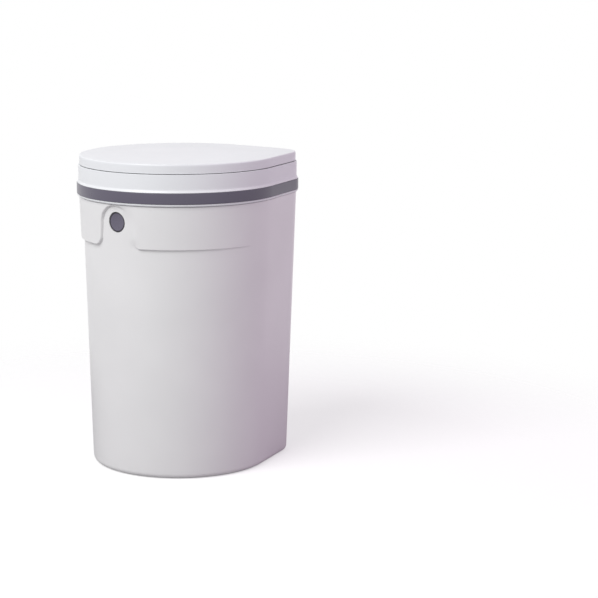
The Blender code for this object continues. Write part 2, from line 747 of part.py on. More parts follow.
def latch_keeper():
    """The keeper on the head: a foot on the head's floor, a leg, and a tooth for the slider's nose."""
    front = keeper_front_y()
    foot_z = HEAD_FLOOR_Z + SEAT_GAP
    bottom = keeper_bottom_z()
    leg_low = (-KEEPER_HALF, front, bottom)
    leg_high = (KEEPER_HALF, front + KEEPER_THICK, foot_z + KEEPER_FOOT_THICK)
    keeper = add_part("latch_keeper", box_mesh("latch_keeper", leg_low, leg_high), DARK)
    foot_front = keeper_foot_front_y()
    foot_low = (-KEEPER_FOOT_HALF, foot_front, foot_z)
    foot_high = (KEEPER_FOOT_HALF, front + KEEPER_THICK, foot_z + KEEPER_FOOT_THICK)
    tooth_low = (-KEEPER_HALF + SEAT_GAP, front, bottom)
    tooth_high = (KEEPER_HALF - SEAT_GAP, tooth_tip_y(), bottom + TOOTH_HEIGHT)
    join(
        keeper,
        add_tool("keeper_foot", box_mesh("keeper_foot", foot_low, foot_high)),
        add_tool("keeper_tooth", box_mesh("keeper_tooth", tooth_low, tooth_high)),
    )
    for side in (-1, 1):
        seat = keeper_screw_seat(side)
        cut(keeper, screw_hole(f"keeper_hole_{side}", seat, (0, 0, -1), keeper_screw_length()))
        screw(f"keeper_screw_{'left' if side < 0 else 'right'}", seat, (0, 0, -1), keeper_screw_length())


def keeper_foot_front_y():
    return -FRONT_RADIUS + HEAD_WALL + KEEPER_CLEARANCE * 2


def keeper_screw_length():
    return KEEPER_FOOT_THICK + SEAT_GAP + HEAD_FLOOR


def keeper_screw_seat(side):
    middle = keeper_foot_front_y() + SCREW_HEAD_RADIUS + SEAT_GAP
    foot_top_z = HEAD_FLOOR_Z + SEAT_GAP + KEEPER_FOOT_THICK
    return Vector((side * KEEPER_FOOT_HALF * KEEPER_SCREW_SHARE, middle, foot_top_z))


def latch_slider():
    """The slider behind the button, with the nose that stands over the keeper's tooth."""
    front = slider_front_y()
    low_z = housing_floor_z() + HOUSING_WALL + SEAT_GAP
    nose_low_z = keeper_bottom_z() + TOOTH_HEIGHT + SEAT_GAP
    high_z = nose_low_z + NOSE_HEIGHT
    plate_low = (BUTTON_X - SLIDER_HALF, front, low_z)
    plate_high = (BUTTON_X + SLIDER_HALF, front + SLIDER_THICK, high_z)
    slider = add_part("latch_slider", box_mesh("latch_slider", plate_low, plate_high), DARK)
    nose_low = (-KEEPER_HALF + SEAT_GAP, tooth_tip_y() + SEAT_GAP, nose_low_z)
    nose_high = (KEEPER_HALF - SEAT_GAP, front + SLIDER_THICK / 2, high_z)
    join(slider, add_tool("slider_nose", box_mesh("slider_nose", nose_low, nose_high)))


def housing_floor_z():
    return BUTTON_Z - HOUSING_BELOW


def housing_back_y():
    """The inner face of the housing's back wall, which the spring pushes against."""
    return slider_front_y() + SLIDER_THICK + HOUSING_SPRING_ROOM


def latch_housing():
    """The housing that guides the slider: floor, two side walls, back wall and a screwed tab."""
    inner = SLIDER_HALF + SLIDER_CLEARANCE
    outer = inner + HOUSING_WALL
    floor_z = housing_floor_z()
    back = housing_back_y()
    side_front = slider_front_y() - SLIDER_GAP + SEAT_GAP
    top_z = keeper_bottom_z() + TOOTH_HEIGHT + NOSE_HEIGHT
    tab_low = (BUTTON_X - TAB_HALF, tab_front_y(), floor_z - TAB_HEIGHT)
    tab_high = (BUTTON_X + TAB_HALF, tab_front_y() + HOUSING_WALL, floor_z)
    housing = add_part("latch_housing", box_mesh("latch_housing", tab_low, tab_high), INNER_WHITE)
    floor_low = (BUTTON_X - outer, tab_front_y(), floor_z - HOUSING_WALL / 2)
    floor_high = (BUTTON_X + outer, back + HOUSING_WALL, floor_z + HOUSING_WALL)
    back_low = (BUTTON_X - outer, back, floor_z)
    back_high = (BUTTON_X + outer, back + HOUSING_WALL, BUTTON_Z + HOUSING_BACK_TOP)
    join(
        housing,
        add_tool("housing_floor", box_mesh("housing_floor", floor_low, floor_high)),
        add_tool("housing_back", box_mesh("housing_back", back_low, back_high)),
    )
    for side in (-1, 1):
        near, far = BUTTON_X + side * inner, BUTTON_X + side * outer
        side_low = (min(near, far), side_front, floor_z)
        side_high = (max(near, far), back + HOUSING_WALL, top_z)
        join(housing, add_tool(f"housing_side_{side}", box_mesh("housing_side", side_low, side_high)))
        seat = tab_screw_seat(side)
        cut(housing, screw_hole(f"housing_hole_{side}", seat, (0, -1, 0)))
        screw(f"housing_screw_{'left' if side < 0 else 'right'}", seat, (0, -1, 0))


def coil(start, along, across, radius, turns, length):
    """Points of a helix: it starts on the across side of its axis and runs along its axis."""
    along, across = Vector(along).normalized(), Vector(across).normalized()
    third = along.cross(across)
    count = turns * COIL_POINTS
    points = []
    for i in range(count + 1):
        turn = math.tau * i / COIL_POINTS
        spot = Vector(start) + along * (length * i / count)
        points.append(spot + (across * math.cos(turn) + third * math.sin(turn)) * radius)
    return points


def button_spring():
    """The compression spring that sends the button back."""
    start_y = slider_front_y() + SLIDER_THICK + SEAT_GAP + BUTTON_WIRE_RADIUS
    end_y = housing_back_y() - SEAT_GAP - BUTTON_WIRE_RADIUS
    start, length = (BUTTON_X, start_y, BUTTON_Z), end_y - start_y
    points = coil(start, (0, 1, 0), (0, 0, 1), BUTTON_COIL_RADIUS, BUTTON_COIL_TURNS, length)
    wire("button_spring", points, BUTTON_WIRE_RADIUS, STEEL)


def head_shell():
    """The white head: lip, groove for the grey band, flare, collar, deck with the well's hole, and spigot."""
    inset = TUB_WALL + SPIGOT_CLEARANCE
    spigot_low = RIM_Z - SPIGOT_DEPTH
    groove = BAND_REACH - BAND_THICK - SEAT_GAP
    knee_z = BAND_TOP_Z + FLARE_HEIGHT * FLARE_KNEE_HEIGHT_SHARE
    knee_reach = COLLAR_REACH + (LIP_REACH - COLLAR_REACH) * FLARE_KNEE_REACH_SHARE
    rings = [
        plan(spigot_low, -inset, BELT_STEP),
        plan(HEAD_BOTTOM_Z, -inset, BELT_STEP),
        plan(HEAD_BOTTOM_Z, LIP_BOTTOM_REACH),
        plan(BAND_BOTTOM_Z, LIP_REACH),
        plan(BAND_BOTTOM_Z, groove),
        plan(BAND_TOP_Z, groove),
        plan(BAND_TOP_Z, LIP_REACH),
        plan(knee_z, knee_reach),
        plan(BAND_TOP_Z + FLARE_HEIGHT, COLLAR_REACH),
        plan(COLLAR_TOP_Z - COLLAR_EDGE, COLLAR_REACH),
        plan(COLLAR_TOP_Z, COLLAR_REACH - COLLAR_EDGE),
        plan(COLLAR_TOP_Z, COLLAR_REACH - HEAD_WALL),
        plan(DECK_Z, COLLAR_REACH - HEAD_WALL),
        round_plan(DECK_Z, WELL_OUTER + WELL_CLEARANCE),
        round_plan(DECK_Z - DECK_THICK, WELL_OUTER + WELL_CLEARANCE),
        plan(DECK_Z - DECK_THICK, COLLAR_REACH - HEAD_WALL),
        plan(HEAD_FLOOR_Z, COLLAR_REACH - HEAD_WALL),
        plan(HEAD_FLOOR_Z, -inset - SPIGOT_WALL, BELT_STEP),
        plan(spigot_low, -inset - SPIGOT_WALL, BELT_STEP),
    ]
    head = add_part("head_shell", loft_mesh("head_shell", rings, ring_shaped=True), WHITE)
    left, right = HINGE_X - HEAD_BARREL_HALF, HINGE_X + HEAD_BARREL_HALF
    pad_low = (left - BARREL_GAP, FRONT_RADIUS - HEAD_WALL / 2, HEAD_BOTTOM_Z + PARTING_GAP)
    pad_high = (right + BARREL_GAP, FRONT_RADIUS + BAND_REACH, BAND_TOP_Z + FLARE_HEIGHT)
    join(
        head,
        add_tool("hinge_pad", box_mesh("hinge_pad", pad_low, pad_high)),
        *hinge_barrel(
            "head_hinge",
            HEAD_AXIS_Y,
            HEAD_AXIS_Z,
            HEAD_BARREL_RADIUS,
            left,
            right,
            FRONT_RADIUS,
            HEAD_BOTTOM_Z + PARTING_GAP / 2,
            HEAD_AXIS_Z + HEAD_BARREL_RADIUS - ARM_INSET,
        ),
    )
    for side in (-1, 1):
        near = HINGE_X + side * (LID_BARREL_HALF + BARREL_GAP)
        far = near + side * HEAD_EAR_WIDTH
        join(
            head,
            *hinge_barrel(
                "head_ear_left" if side < 0 else "head_ear_right",
                LID_AXIS_Y,
                LID_AXIS_Z,
                LID_BARREL_RADIUS,
                min(near, far),
                max(near, far),
                FRONT_RADIUS,
                COLLAR_TOP_Z - EAR_THICK,
                COLLAR_TOP_Z - COLLAR_EDGE / 2,
            ),
        )
        seat = keeper_screw_seat(side)
        cut(head, screw_hole(f"keeper_hole_in_head_{side}", seat, (0, 0, -1), keeper_screw_length()))
    for i, turn in enumerate(FLANGE_SCREW_TURNS):
        seat = on_circle(FLANGE_SCREW_RADIUS, turn, FLANGE_TOP_Z)
        cut(head, screw_hole(f"flange_hole_in_head_{i}", seat, (0, 0, -1)))
    for side in (-1, 1):
        seat = cutter_screw_seat(side)
        cut(head, screw_hole(f"cutter_hole_in_head_{side}", seat, (0, 0, -1), cutter_screw_length()))
    cut(
        head,
        pin_bore("head_pin_bore", HEAD_AXIS_Y, HEAD_AXIS_Z, HEAD_BARREL_HALF),
        pin_bore("lid_pin_bore_in_head", LID_AXIS_Y, LID_AXIS_Z, LID_BARREL_HALF + HEAD_EAR_WIDTH),
    )


def hinge_pins():
    """The steel pins of both hinges."""
    for name, y, z, reach in (
        ("head_hinge_pin", HEAD_AXIS_Y, HEAD_AXIS_Z, HEAD_BARREL_HALF + BARREL_GAP + TUB_EAR_WIDTH),
        ("lid_hinge_pin", LID_AXIS_Y, LID_AXIS_Z, LID_BARREL_HALF + BARREL_GAP + HEAD_EAR_WIDTH),
    ):
        start, end = (HINGE_X - reach, y, z), (HINGE_X + reach, y, z)
        add_part(name, rod_mesh(name, start, end, PIN_RADIUS, SCREW_SEGMENTS), STEEL)


def trim_band():
    """The grey band in the head's groove, open at the back for the hinge pad."""
    low_z, high_z = BAND_BOTTOM_Z + SEAT_GAP, BAND_TOP_Z - SEAT_GAP
    edge = BAND_THICK * BAND_EDGE_SHARE
    inner = BAND_REACH - BAND_THICK
    rings = [
        plan(low_z, inner),
        plan(low_z, BAND_REACH - edge),
        plan(low_z + edge, BAND_REACH),
        plan(high_z - edge, BAND_REACH),
        plan(high_z, BAND_REACH - edge),
        plan(high_z, inner),
    ]
    band = add_part("trim_band", loft_mesh("trim_band", rings, ring_shaped=True), GREY)
    half = HEAD_BARREL_HALF + BARREL_GAP + SEAT_GAP
    opening_low = (HINGE_X - half, FRONT_RADIUS - BAND_OPENING_DEPTH, low_z - OVERRUN)
    opening_high = (HINGE_X + half, FRONT_RADIUS + BAND_REACH + OVERRUN, high_z + OVERRUN)
    cut(band, add_tool("band_opening", box_mesh("band_opening", opening_low, opening_high)))


def cassette_well():
    """The round well that holds the refill, with its flange, its throat and the bosses for the trap."""
    throat_outer = THROAT_RADIUS + THROAT_WALL
    flange_z = DECK_Z + SEAT_GAP
    profile = [
        (WELL_FLANGE_RADIUS, FLANGE_TOP_Z),
        (WELL_FLANGE_RADIUS, flange_z),
        (WELL_OUTER, flange_z),
        (WELL_OUTER, WELL_FLOOR_Z),
        (throat_outer, WELL_FLOOR_Z),
        (throat_outer, THROAT_BOTTOM_Z),
        (THROAT_RADIUS, THROAT_BOTTOM_Z),
        (THROAT_RADIUS, WELL_SEAT_Z + THROAT_RISE),
        (throat_outer, WELL_SEAT_Z + THROAT_RISE),
        (throat_outer, WELL_SEAT_Z),
        (WELL_RADIUS, WELL_SEAT_Z),
        (WELL_RADIUS, FLANGE_TOP_Z),
    ]
    well = turned("cassette_well", profile, WELL_SEGMENTS, INNER_WHITE)
    for i, turn in enumerate(TRAP_SCREW_TURNS):
        low = on_circle(TRAP_SCREW_RADIUS, turn, THROAT_BOTTOM_Z)
        high = on_circle(TRAP_SCREW_RADIUS, turn, WELL_FLOOR_Z + WELL_FLOOR_THICK / 2)
        join(well, add_tool(f"trap_boss_{i}", rod_mesh("trap_boss", low, high, BOSS_RADIUS, SCREW_SEGMENTS)))
        seat = on_circle(TRAP_SCREW_RADIUS, turn, TRAP_TOP_Z - TRAP_PLATE)
        cut(well, screw_hole(f"trap_hole_in_well_{i}", seat, (0, 0, 1)))
    for i, turn in enumerate(FLANGE_SCREW_TURNS):
        seat = on_circle(FLANGE_SCREW_RADIUS, turn, FLANGE_TOP_Z)
        cut(well, screw_hole(f"flange_hole_{i}", seat, (0, 0, -1)))
        screw(f"flange_screw_{i + 1}", seat, (0, 0, -1))


def trap_frame():
    """The frame under the throat that carries both jaws on pins."""
    plate_low = (-TRAP_HALF_X, -TRAP_HALF_Y, TRAP_TOP_Z - TRAP_DEPTH)
    plate_high = (TRAP_HALF_X, TRAP_HALF_Y, TRAP_TOP_Z)
    frame = add_part("trap_frame", box_mesh("trap_frame", plate_low, plate_high, TRAP_EDGE), INNER_WHITE)
    room_low = (-TRAP_HALF_X + TRAP_WALL, -TRAP_HALF_Y + TRAP_WALL, TRAP_TOP_Z - TRAP_DEPTH - OVERRUN)
    room_high = (TRAP_HALF_X - TRAP_WALL, TRAP_HALF_Y - TRAP_WALL, TRAP_TOP_Z - TRAP_PLATE)
    throat_low, throat_high = (0, 0, TRAP_TOP_Z - TRAP_DEPTH), (0, 0, TRAP_TOP_Z + OVERRUN)
    throat = rod_mesh("trap_throat", throat_low, throat_high, THROAT_RADIUS, WELL_SEGMENTS)
    cut(frame, add_tool("trap_room", box_mesh("trap_room", room_low, room_high)))
    cut(frame, add_tool("trap_throat", throat))
    for i, turn in enumerate(TRAP_SCREW_TURNS):
        seat = on_circle(TRAP_SCREW_RADIUS, turn, TRAP_TOP_Z - TRAP_PLATE)
        cut(frame, screw_hole(f"trap_hole_{i}", seat, (0, 0, 1)))
        screw(f"trap_screw_{i + 1}", seat, (0, 0, 1))
    for side in (-1, 1):
        start = (side * JAW_AXIS_X, -TRAP_HALF_Y - OVERRUN, JAW_AXIS_Z)
        end = (side * JAW_AXIS_X, TRAP_HALF_Y + OVERRUN, JAW_AXIS_Z)
        bore = rod_mesh("trap_pin_bore", start, end, TRAP_PIN_RADIUS + PIN_CLEARANCE, SCREW_SEGMENTS)
        cut(frame, add_tool(f"trap_pin_bore_{side}", bore))
        pin_start = (side * JAW_AXIS_X, -TRAP_HALF_Y, JAW_AXIS_Z)
        pin_end = (side * JAW_AXIS_X, TRAP_HALF_Y, JAW_AXIS_Z)
        name = f"trap_pin_{'left' if side < 0 else 'right'}"
        add_part(name, rod_mesh(name, pin_start, pin_end, TRAP_PIN_RADIUS, SCREW_SEGMENTS), STEEL)


def trap_jaw(side):
    """One sprung jaw: a ribbed plate on a barrel, its soft lip, and the torsion spring on its pin."""
    word = "left" if side < 0 else "right"
    half_y = TRAP_HALF_Y - TRAP_WALL - JAW_END_GAP
    low_z, high_z = JAW_AXIS_Z - JAW_THICK / 2, JAW_AXIS_Z + JAW_THICK / 2
    meeting = side * JAW_MEETING_GAP / 2
    axis_x = side * JAW_AXIS_X
    plate = box_mesh("jaw", (min(axis_x, meeting), -half_y, low_z), (max(axis_x, meeting), half_y, high_z))
    jaw = add_part(f"trap_jaw_{word}", plate, INNER_WHITE)
    barrel_start, barrel_end = (axis_x, -half_y, JAW_AXIS_Z), (axis_x, half_y, JAW_AXIS_Z)
    barrel = rod_mesh("jaw_barrel", barrel_start, barrel_end, JAW_BARREL_RADIUS, SCREW_SEGMENTS)
    join(jaw, add_tool(f"jaw_barrel_{word}", barrel))
    for i, share in enumerate(JAW_RIB_SHARES):
        rib_y = half_y * share
        near, far = meeting + side * JAW_LIP_WIDTH, axis_x - side * JAW_BARREL_RADIUS * 2
        if share == 0.0:
            far = axis_x - side * JAW_NOTCH
        rib_low = (min(near, far), rib_y - JAW_RIB_THICK / 2, low_z - JAW_RIB_HEIGHT)
        rib_high = (max(near, far), rib_y + JAW_RIB_THICK / 2, JAW_AXIS_Z)
        join(jaw, add_tool(f"jaw_rib_{word}_{i}", box_mesh("jaw_rib", rib_low, rib_high)))
    notch_far = axis_x - side * JAW_BARREL_RADIUS * JAW_NOTCH_START_SHARE
    notch_out = axis_x + side * JAW_BARREL_RADIUS * 2
    notch_low = (min(notch_far, notch_out), -JAW_NOTCH / 2, JAW_AXIS_Z - JAW_NOTCH)
    notch_high = (max(notch_far, notch_out), JAW_NOTCH / 2, JAW_AXIS_Z + JAW_NOTCH)
    bore_start = (axis_x, -TRAP_HALF_Y, JAW_AXIS_Z)
    bore_end = (axis_x, TRAP_HALF_Y, JAW_AXIS_Z)
    bore = rod_mesh("jaw_bore", bore_start, bore_end, TRAP_PIN_RADIUS + PIN_CLEARANCE, SCREW_SEGMENTS)
    cut(
        jaw,
        add_tool(f"jaw_notch_{word}", box_mesh("jaw_notch", notch_low, notch_high)),
        add_tool(f"jaw_bore_{word}", bore),
    )
    lip_near, lip_far = meeting, meeting + side * JAW_LIP_WIDTH
    lip_z = high_z + SEAT_GAP
    lip_low = (min(lip_near, lip_far), -half_y + JAW_LIP_WIDTH, lip_z)
    lip_high = (max(lip_near, lip_far), half_y - JAW_LIP_WIDTH, lip_z + JAW_LIP_THICK)
    add_part(f"jaw_lip_{word}", box_mesh("jaw_lip", lip_low, lip_high, JAW_LIP_EDGE), RUBBER)
    jaw_spring(side, word)


def jaw_spring(side, word):
    """A torsion spring: a leg under the jaw, a coil round the pin, and a leg up to the frame's plate."""
    length = JAW_COIL_TURNS * JAW_COIL_PITCH
    start = Vector((side * JAW_AXIS_X, -length / 2, JAW_AXIS_Z))
    points = coil(start, (0, 1, 0), (0, 0, -1), JAW_COIL_RADIUS, JAW_COIL_TURNS, length)
    if side > 0:
        points = [Vector((2 * side * JAW_AXIS_X - point.x, point.y, point.z)) for point in points]
    first = points[0] - Vector((side * JAW_LEG, 0, 0))
    top_z = TRAP_TOP_Z - TRAP_PLATE - SEAT_GAP - WIRE_RADIUS
    quarter = COIL_POINTS // 4
    last = points[-1 - quarter]
    rise = Vector((last.x, last.y, top_z))
    wire(f"jaw_spring_{word}", [first, *points[: len(points) - quarter], rise], WIRE_RADIUS, STEEL)


def film_ring(turn, index):
    """A section of the pleated film: it fills the card box and bulges over it, with a pleat's swell."""
    base = WELL_SEAT_Z + SEAT_GAP + CARD_THICK + SEAT_GAP
    brim = WELL_SEAT_Z + SEAT_GAP + REFILL_HEIGHT
    inner = REFILL_INNER_RADIUS + CARD_THICK + SEAT_GAP
    outer = REFILL_OUTER_RADIUS - CARD_THICK - SEAT_GAP
    middle, half = (inner + outer) / 2, (outer - inner) / 2
    swell = FILM_RIPPLE if index % FILM_POINTS_PER_PLEAT == 0 else 0.0
    section = [(outer, base), (outer, brim)]
    for i in range(1, FILM_ARC_STEPS):
        lift = math.pi * i / FILM_ARC_STEPS
        section.append((middle + half * math.cos(lift), brim + (FILM_BULGE - swell) * math.sin(lift)))
    section += [(inner, brim), (inner, base)]
    return [on_circle(radius, turn, height) for radius, height in section[::-1]]


def refill():
    """The refill: a card ring box, the film packed in it, and the paper bands round both."""
    low = WELL_SEAT_Z + SEAT_GAP
    high = low + REFILL_HEIGHT
    box_profile = [
        (REFILL_OUTER_RADIUS, high),
        (REFILL_OUTER_RADIUS, low),
        (REFILL_INNER_RADIUS, low),
        (REFILL_INNER_RADIUS, high),
        (REFILL_INNER_RADIUS + CARD_THICK, high),
        (REFILL_INNER_RADIUS + CARD_THICK, low + CARD_THICK),
        (REFILL_OUTER_RADIUS - CARD_THICK, low + CARD_THICK),
        (REFILL_OUTER_RADIUS - CARD_THICK, high),
    ]
    turned("refill_box", box_profile, REFILL_SEGMENTS, CARD)
    count = FILM_PLEATS * FILM_POINTS_PER_PLEAT
    rings = [film_ring(math.tau * i / count, i) for i in range(count)]
    add_part("refill_film", loft_mesh("refill_film", rings, ring_shaped=True), FILM)
    for i in range(PAPER_COUNT):
        paper_band(i, high)


def paper_band(index, brim):
    """A paper band over the film, from the card's outer wall to its inner wall."""
    inner, outer = REFILL_INNER_RADIUS, REFILL_OUTER_RADIUS
    middle, half = (inner + outer) / 2, (outer - inner) / 2
    over, under = [], []
    for i in range(PAPER_ARC_STEPS + 1):
        lift = math.pi * i / PAPER_ARC_STEPS
        for line, extra in ((under, SEAT_GAP), (over, SEAT_GAP + PAPER_THICK)):
            radius = middle + (half + extra) * math.cos(lift)
            line.append((radius, brim + (FILM_BULGE + extra) * math.sin(lift)))
    low = brim - PAPER_DROP
    profile = [
        *over[::-1],
        (outer + SEAT_GAP + PAPER_THICK, low),
        (outer + SEAT_GAP, low),
        *under,
        (inner - SEAT_GAP, low),
        (inner - SEAT_GAP - PAPER_THICK, low),
    ]
    band = turned(f"refill_band_{index + 1}", profile, REFILL_SEGMENTS, PAPER)
    half = PAPER_WIDTH / 2
    piece = box_mesh("paper_cut", (-half, -WELL_RADIUS, low - OVERRUN), (half, 0.0, DECK_Z + OVERRUN))
    piece.transform(Matrix.Rotation(math.tau * (index + 0.5) / PAPER_COUNT, 4, "Z"))
    boolean(band, add_tool(f"paper_cut_{index + 1}", piece), "INTERSECT")


def cutter_matrix():
    """Places the film cutter on the deck, in the corner, with its mouth towards the middle."""
    spot = CORNER_WAY * CUTTER_REACH
    return Matrix.Translation((spot.x, spot.y, DECK_Z + SEAT_GAP)) @ Matrix.Rotation(CORNER_TURN, 4, "Z")


def cutter_screw_seat(side):
    seat_z = CUTTER_HEIGHT - SCREW_HEAD_HEIGHT - SEAT_GAP * 2
    return cutter_matrix() @ Vector((side * CUTTER_LENGTH * CUTTER_SCREW_SHARE, 0.0, seat_z))


def cutter_screw_length():
    return CUTTER_HEIGHT - SCREW_HEAD_HEIGHT + DECK_THICK


def film_cutter():
    """The film cutter: a guard with a narrowing mouth, and a steel blade in a pocket under it."""
    place = cutter_matrix()
    half_x, half_y = CUTTER_LENGTH / 2, CUTTER_DEPTH / 2
    mesh = box_mesh("cutter_guard", (-half_x, -half_y, 0.0), (half_x, half_y, CUTTER_HEIGHT), CUTTER_EDGE)
    mesh.transform(place)
    guard = add_part("cutter_guard", mesh, GREY)
    mouth = [(-CUTTER_MOUTH / 2, half_y + OVERRUN), (CUTTER_MOUTH / 2, half_y + OVERRUN)]
    mouth += [(CUTTER_THROAT / 2, half_y - CUTTER_NOTCH), (-CUTTER_THROAT / 2, half_y - CUTTER_NOTCH)]
    rings = [[(x, y, z) for x, y in mouth[::-1]] for z in (-OVERRUN, CUTTER_HEIGHT + OVERRUN)]
    notch = loft_mesh("cutter_mouth", rings)
    notch.transform(place)
    pocket_height = BLADE_THICK + SEAT_GAP * 2
    blade_x, blade_y = BLADE_LENGTH / 2, BLADE_DEPTH / 2
    pocket_x, pocket_y = blade_x + SEAT_GAP, blade_y + SEAT_GAP
    pocket = box_mesh("blade_pocket", (-pocket_x, -pocket_y, -OVERRUN), (pocket_x, pocket_y, pocket_height))
    pocket.transform(place)
    cut(guard, add_tool("cutter_mouth", notch), add_tool("blade_pocket", pocket))
    blade_mesh = loft_mesh(
        "cutter_blade",
        [
            [(-blade_x, -blade_y, z), (blade_x, -blade_y, z), (blade_x, 0.0, z), (-blade_x, blade_y, z)]
            for z in (0.0, BLADE_THICK)
        ],
    )
    blade_mesh.transform(Matrix.Translation((0.0, 0.0, SEAT_GAP)))
    blade_mesh.transform(place)
    add_part("cutter_blade", blade_mesh, STEEL)
    for side in (-1, 1):
        seat = cutter_screw_seat(side)
        word = "left" if side < 0 else "right"
        cut(guard, screw_hole(f"guard_hole_{word}", seat, (0, 0, -1), cutter_screw_length()))
        sink_top = seat + Vector((0, 0, SCREW_HEAD_HEIGHT + OVERRUN))
        sink = rod_mesh("guard_sink", seat, sink_top, SCREW_HEAD_RADIUS + SCREW_CLEARANCE, SCREW_SEGMENTS)
        cut(guard, add_tool(f"guard_sink_{word}", sink))
        screw(f"cutter_screw_{word}", seat, (0, 0, -1), cutter_screw_length())


def lid_cover():
    """The white lid: a slightly crowned top with rounded edges, side walls and a hinge barrel."""
    inner = LID_REACH - LID_WALL
    edge_top_z = HEIGHT - LID_CROWN
    edge_rings = []
    for down_share, in_share in LID_EDGE_SHARES:
        edge_rings.append(plan(edge_top_z - LID_EDGE * down_share, LID_REACH - LID_EDGE * in_share))
    outer_rings = [
        plan(LID_BOTTOM_Z, LID_REACH - RIM_EDGE / 2),
        plan(LID_BOTTOM_Z + RIM_EDGE, LID_REACH),
        *edge_rings,
        plan(HEIGHT, LID_REACH - FRONT_RADIUS * LID_CROWN_SHARE),
    ]
    inner_rings = [
        plan(edge_top_z - LID_WALL, inner - LID_EDGE / 2),
        plan(edge_top_z - LID_WALL - LID_EDGE, inner),
        plan(LID_BOTTOM_Z, inner),
    ]
    cover = add_part("lid_cover", loft_mesh("lid_cover", [*inner_rings, *outer_rings]), WHITE)
    join(
        cover,
        *hinge_barrel(
            "lid_hinge",
            LID_AXIS_Y,
            LID_AXIS_Z,
            LID_BARREL_RADIUS,
            HINGE_X - LID_BARREL_HALF,
            HINGE_X + LID_BARREL_HALF,
            FRONT_RADIUS + LID_REACH - LID_WALL / 2,
            LID_BOTTOM_Z + RIM_EDGE / 2,
            LID_AXIS_Z + LID_BARREL_RADIUS,
        ),
    )
    cut(cover, pin_bore("lid_pin_bore", LID_AXIS_Y, LID_AXIS_Z, LID_BARREL_HALF))
    for i, turn in enumerate(LINER_SCREW_TURNS):
        low = on_circle(LINER_SCREW_RADIUS, turn, LINER_TOP_Z + SEAT_GAP)
        high = on_circle(LINER_SCREW_RADIUS, turn, edge_top_z - LID_WALL / 2)
        boss = rod_mesh("liner_boss", low, high, LINER_BOSS_RADIUS, SCREW_SEGMENTS)
        join(cover, add_tool(f"liner_boss_{i}", boss))
        seat = on_circle(LINER_SCREW_RADIUS, turn, LINER_BOTTOM_Z)
        cut(cover, screw_hole(f"liner_hole_in_cover_{i}", seat, (0, 0, 1)))


def lid_liner():
    """The liner that closes the lid from below, with the ring that carries the seal."""
    reach = LID_REACH - LID_WALL - SEAT_GAP
    rings = [plan(LINER_BOTTOM_Z, reach), plan(LINER_TOP_Z, reach)]
    liner = add_part("lid_liner", loft_mesh("lid_liner", rings), INNER_WHITE)
    ring_low = SEAL_TOP_Z + SEAT_GAP
    inner, outer = PLUG_RADIUS - PLUG_THICK / 2, PLUG_RADIUS + PLUG_THICK / 2
    middle_z = (LINER_BOTTOM_Z + LINER_TOP_Z) / 2
    profile = [(outer, middle_z), (outer, ring_low), (inner, ring_low), (inner, middle_z)]
    join(liner, turned("plug_ring", profile, WELL_SEGMENTS))
    for i, turn in enumerate(LINER_SCREW_TURNS):
        seat = on_circle(LINER_SCREW_RADIUS, turn, LINER_BOTTOM_Z)
        cut(liner, screw_hole(f"liner_hole_{i}", seat, (0, 0, 1)))
        screw(f"liner_screw_{i + 1}", seat, (0, 0, 1))


def lid_seal():
    """The soft ring that closes on the well's flange."""
    inner, outer = PLUG_RADIUS - PLUG_THICK / 2, PLUG_RADIUS + PLUG_THICK / 2
    edge = SEAL_HEIGHT / 3
    profile = [
        (outer, SEAL_TOP_Z),
        (outer, SEAL_BOTTOM_Z + edge),
        (outer - edge, SEAL_BOTTOM_Z),
        (inner + edge, SEAL_BOTTOM_Z),
        (inner, SEAL_BOTTOM_Z + edge),
        (inner, SEAL_TOP_Z),
    ]
    turned("lid_seal", profile, WELL_SEGMENTS, RUBBER)


def hang(name, place, starts, carrier=None):
    """An empty on a joint's axis: the pieces whose names start so follow it, and it follows its carrier."""
    pivot = bpy.data.objects.new(name, None)
    pivot.location = place
    pieces = [piece for piece in PARTS.objects if piece.name.startswith(starts)]
    PARTS.objects.link(pivot)
    for piece in pieces:
        piece.parent = pivot
        piece.matrix_parent_inverse = Matrix.Translation(-Vector(place))
    if carrier:
        pivot.parent = carrier
        pivot.matrix_parent_inverse = Matrix.Translation(-carrier.location)
    return pivot


def hang_on_joints():
    """Every moving piece follows an empty on its joint's axis."""
    hang("button_pivot", (BUTTON_X, 0.0, BUTTON_Z), ("button_cap", "latch_slider"))
    head_starts = ("head_shell", "trim_band", "cassette_well", "flange_", "latch_keeper", "keeper_")
    head_starts += ("refill_", "trap_frame", "trap_screw", "trap_pin", "jaw_spring", "cutter_", "lid_hinge")
    head = hang("head_pivot", (HINGE_X, HEAD_AXIS_Y, HEAD_AXIS_Z), head_starts)
    for side, word in ((-1, "left"), (1, "right")):
        axis = (side * JAW_AXIS_X, 0.0, JAW_AXIS_Z)
        hang(f"{word}_jaw_pivot", axis, (f"trap_jaw_{word}", f"jaw_lip_{word}"), head)
    lid_starts = ("lid_cover", "lid_liner", "lid_seal", "liner_screw")
    hang("lid_pivot", (HINGE_X, LID_AXIS_Y, LID_AXIS_Z), lid_starts, head)


def build():
    tub_body()
    foot_pads()
    button_cap()
    latch_slider()
    latch_housing()
    button_spring()
    head_shell()
    trim_band()
    cassette_well()
    latch_keeper()
    refill()
    trap_frame()
    trap_jaw(-1)
    trap_jaw(1)
    film_cutter()
    lid_cover()
    lid_liner()
    lid_seal()
    hinge_pins()
    hang_on_joints()


build()
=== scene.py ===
import math

import bmesh
import bpy
from mathutils import Matrix, Vector


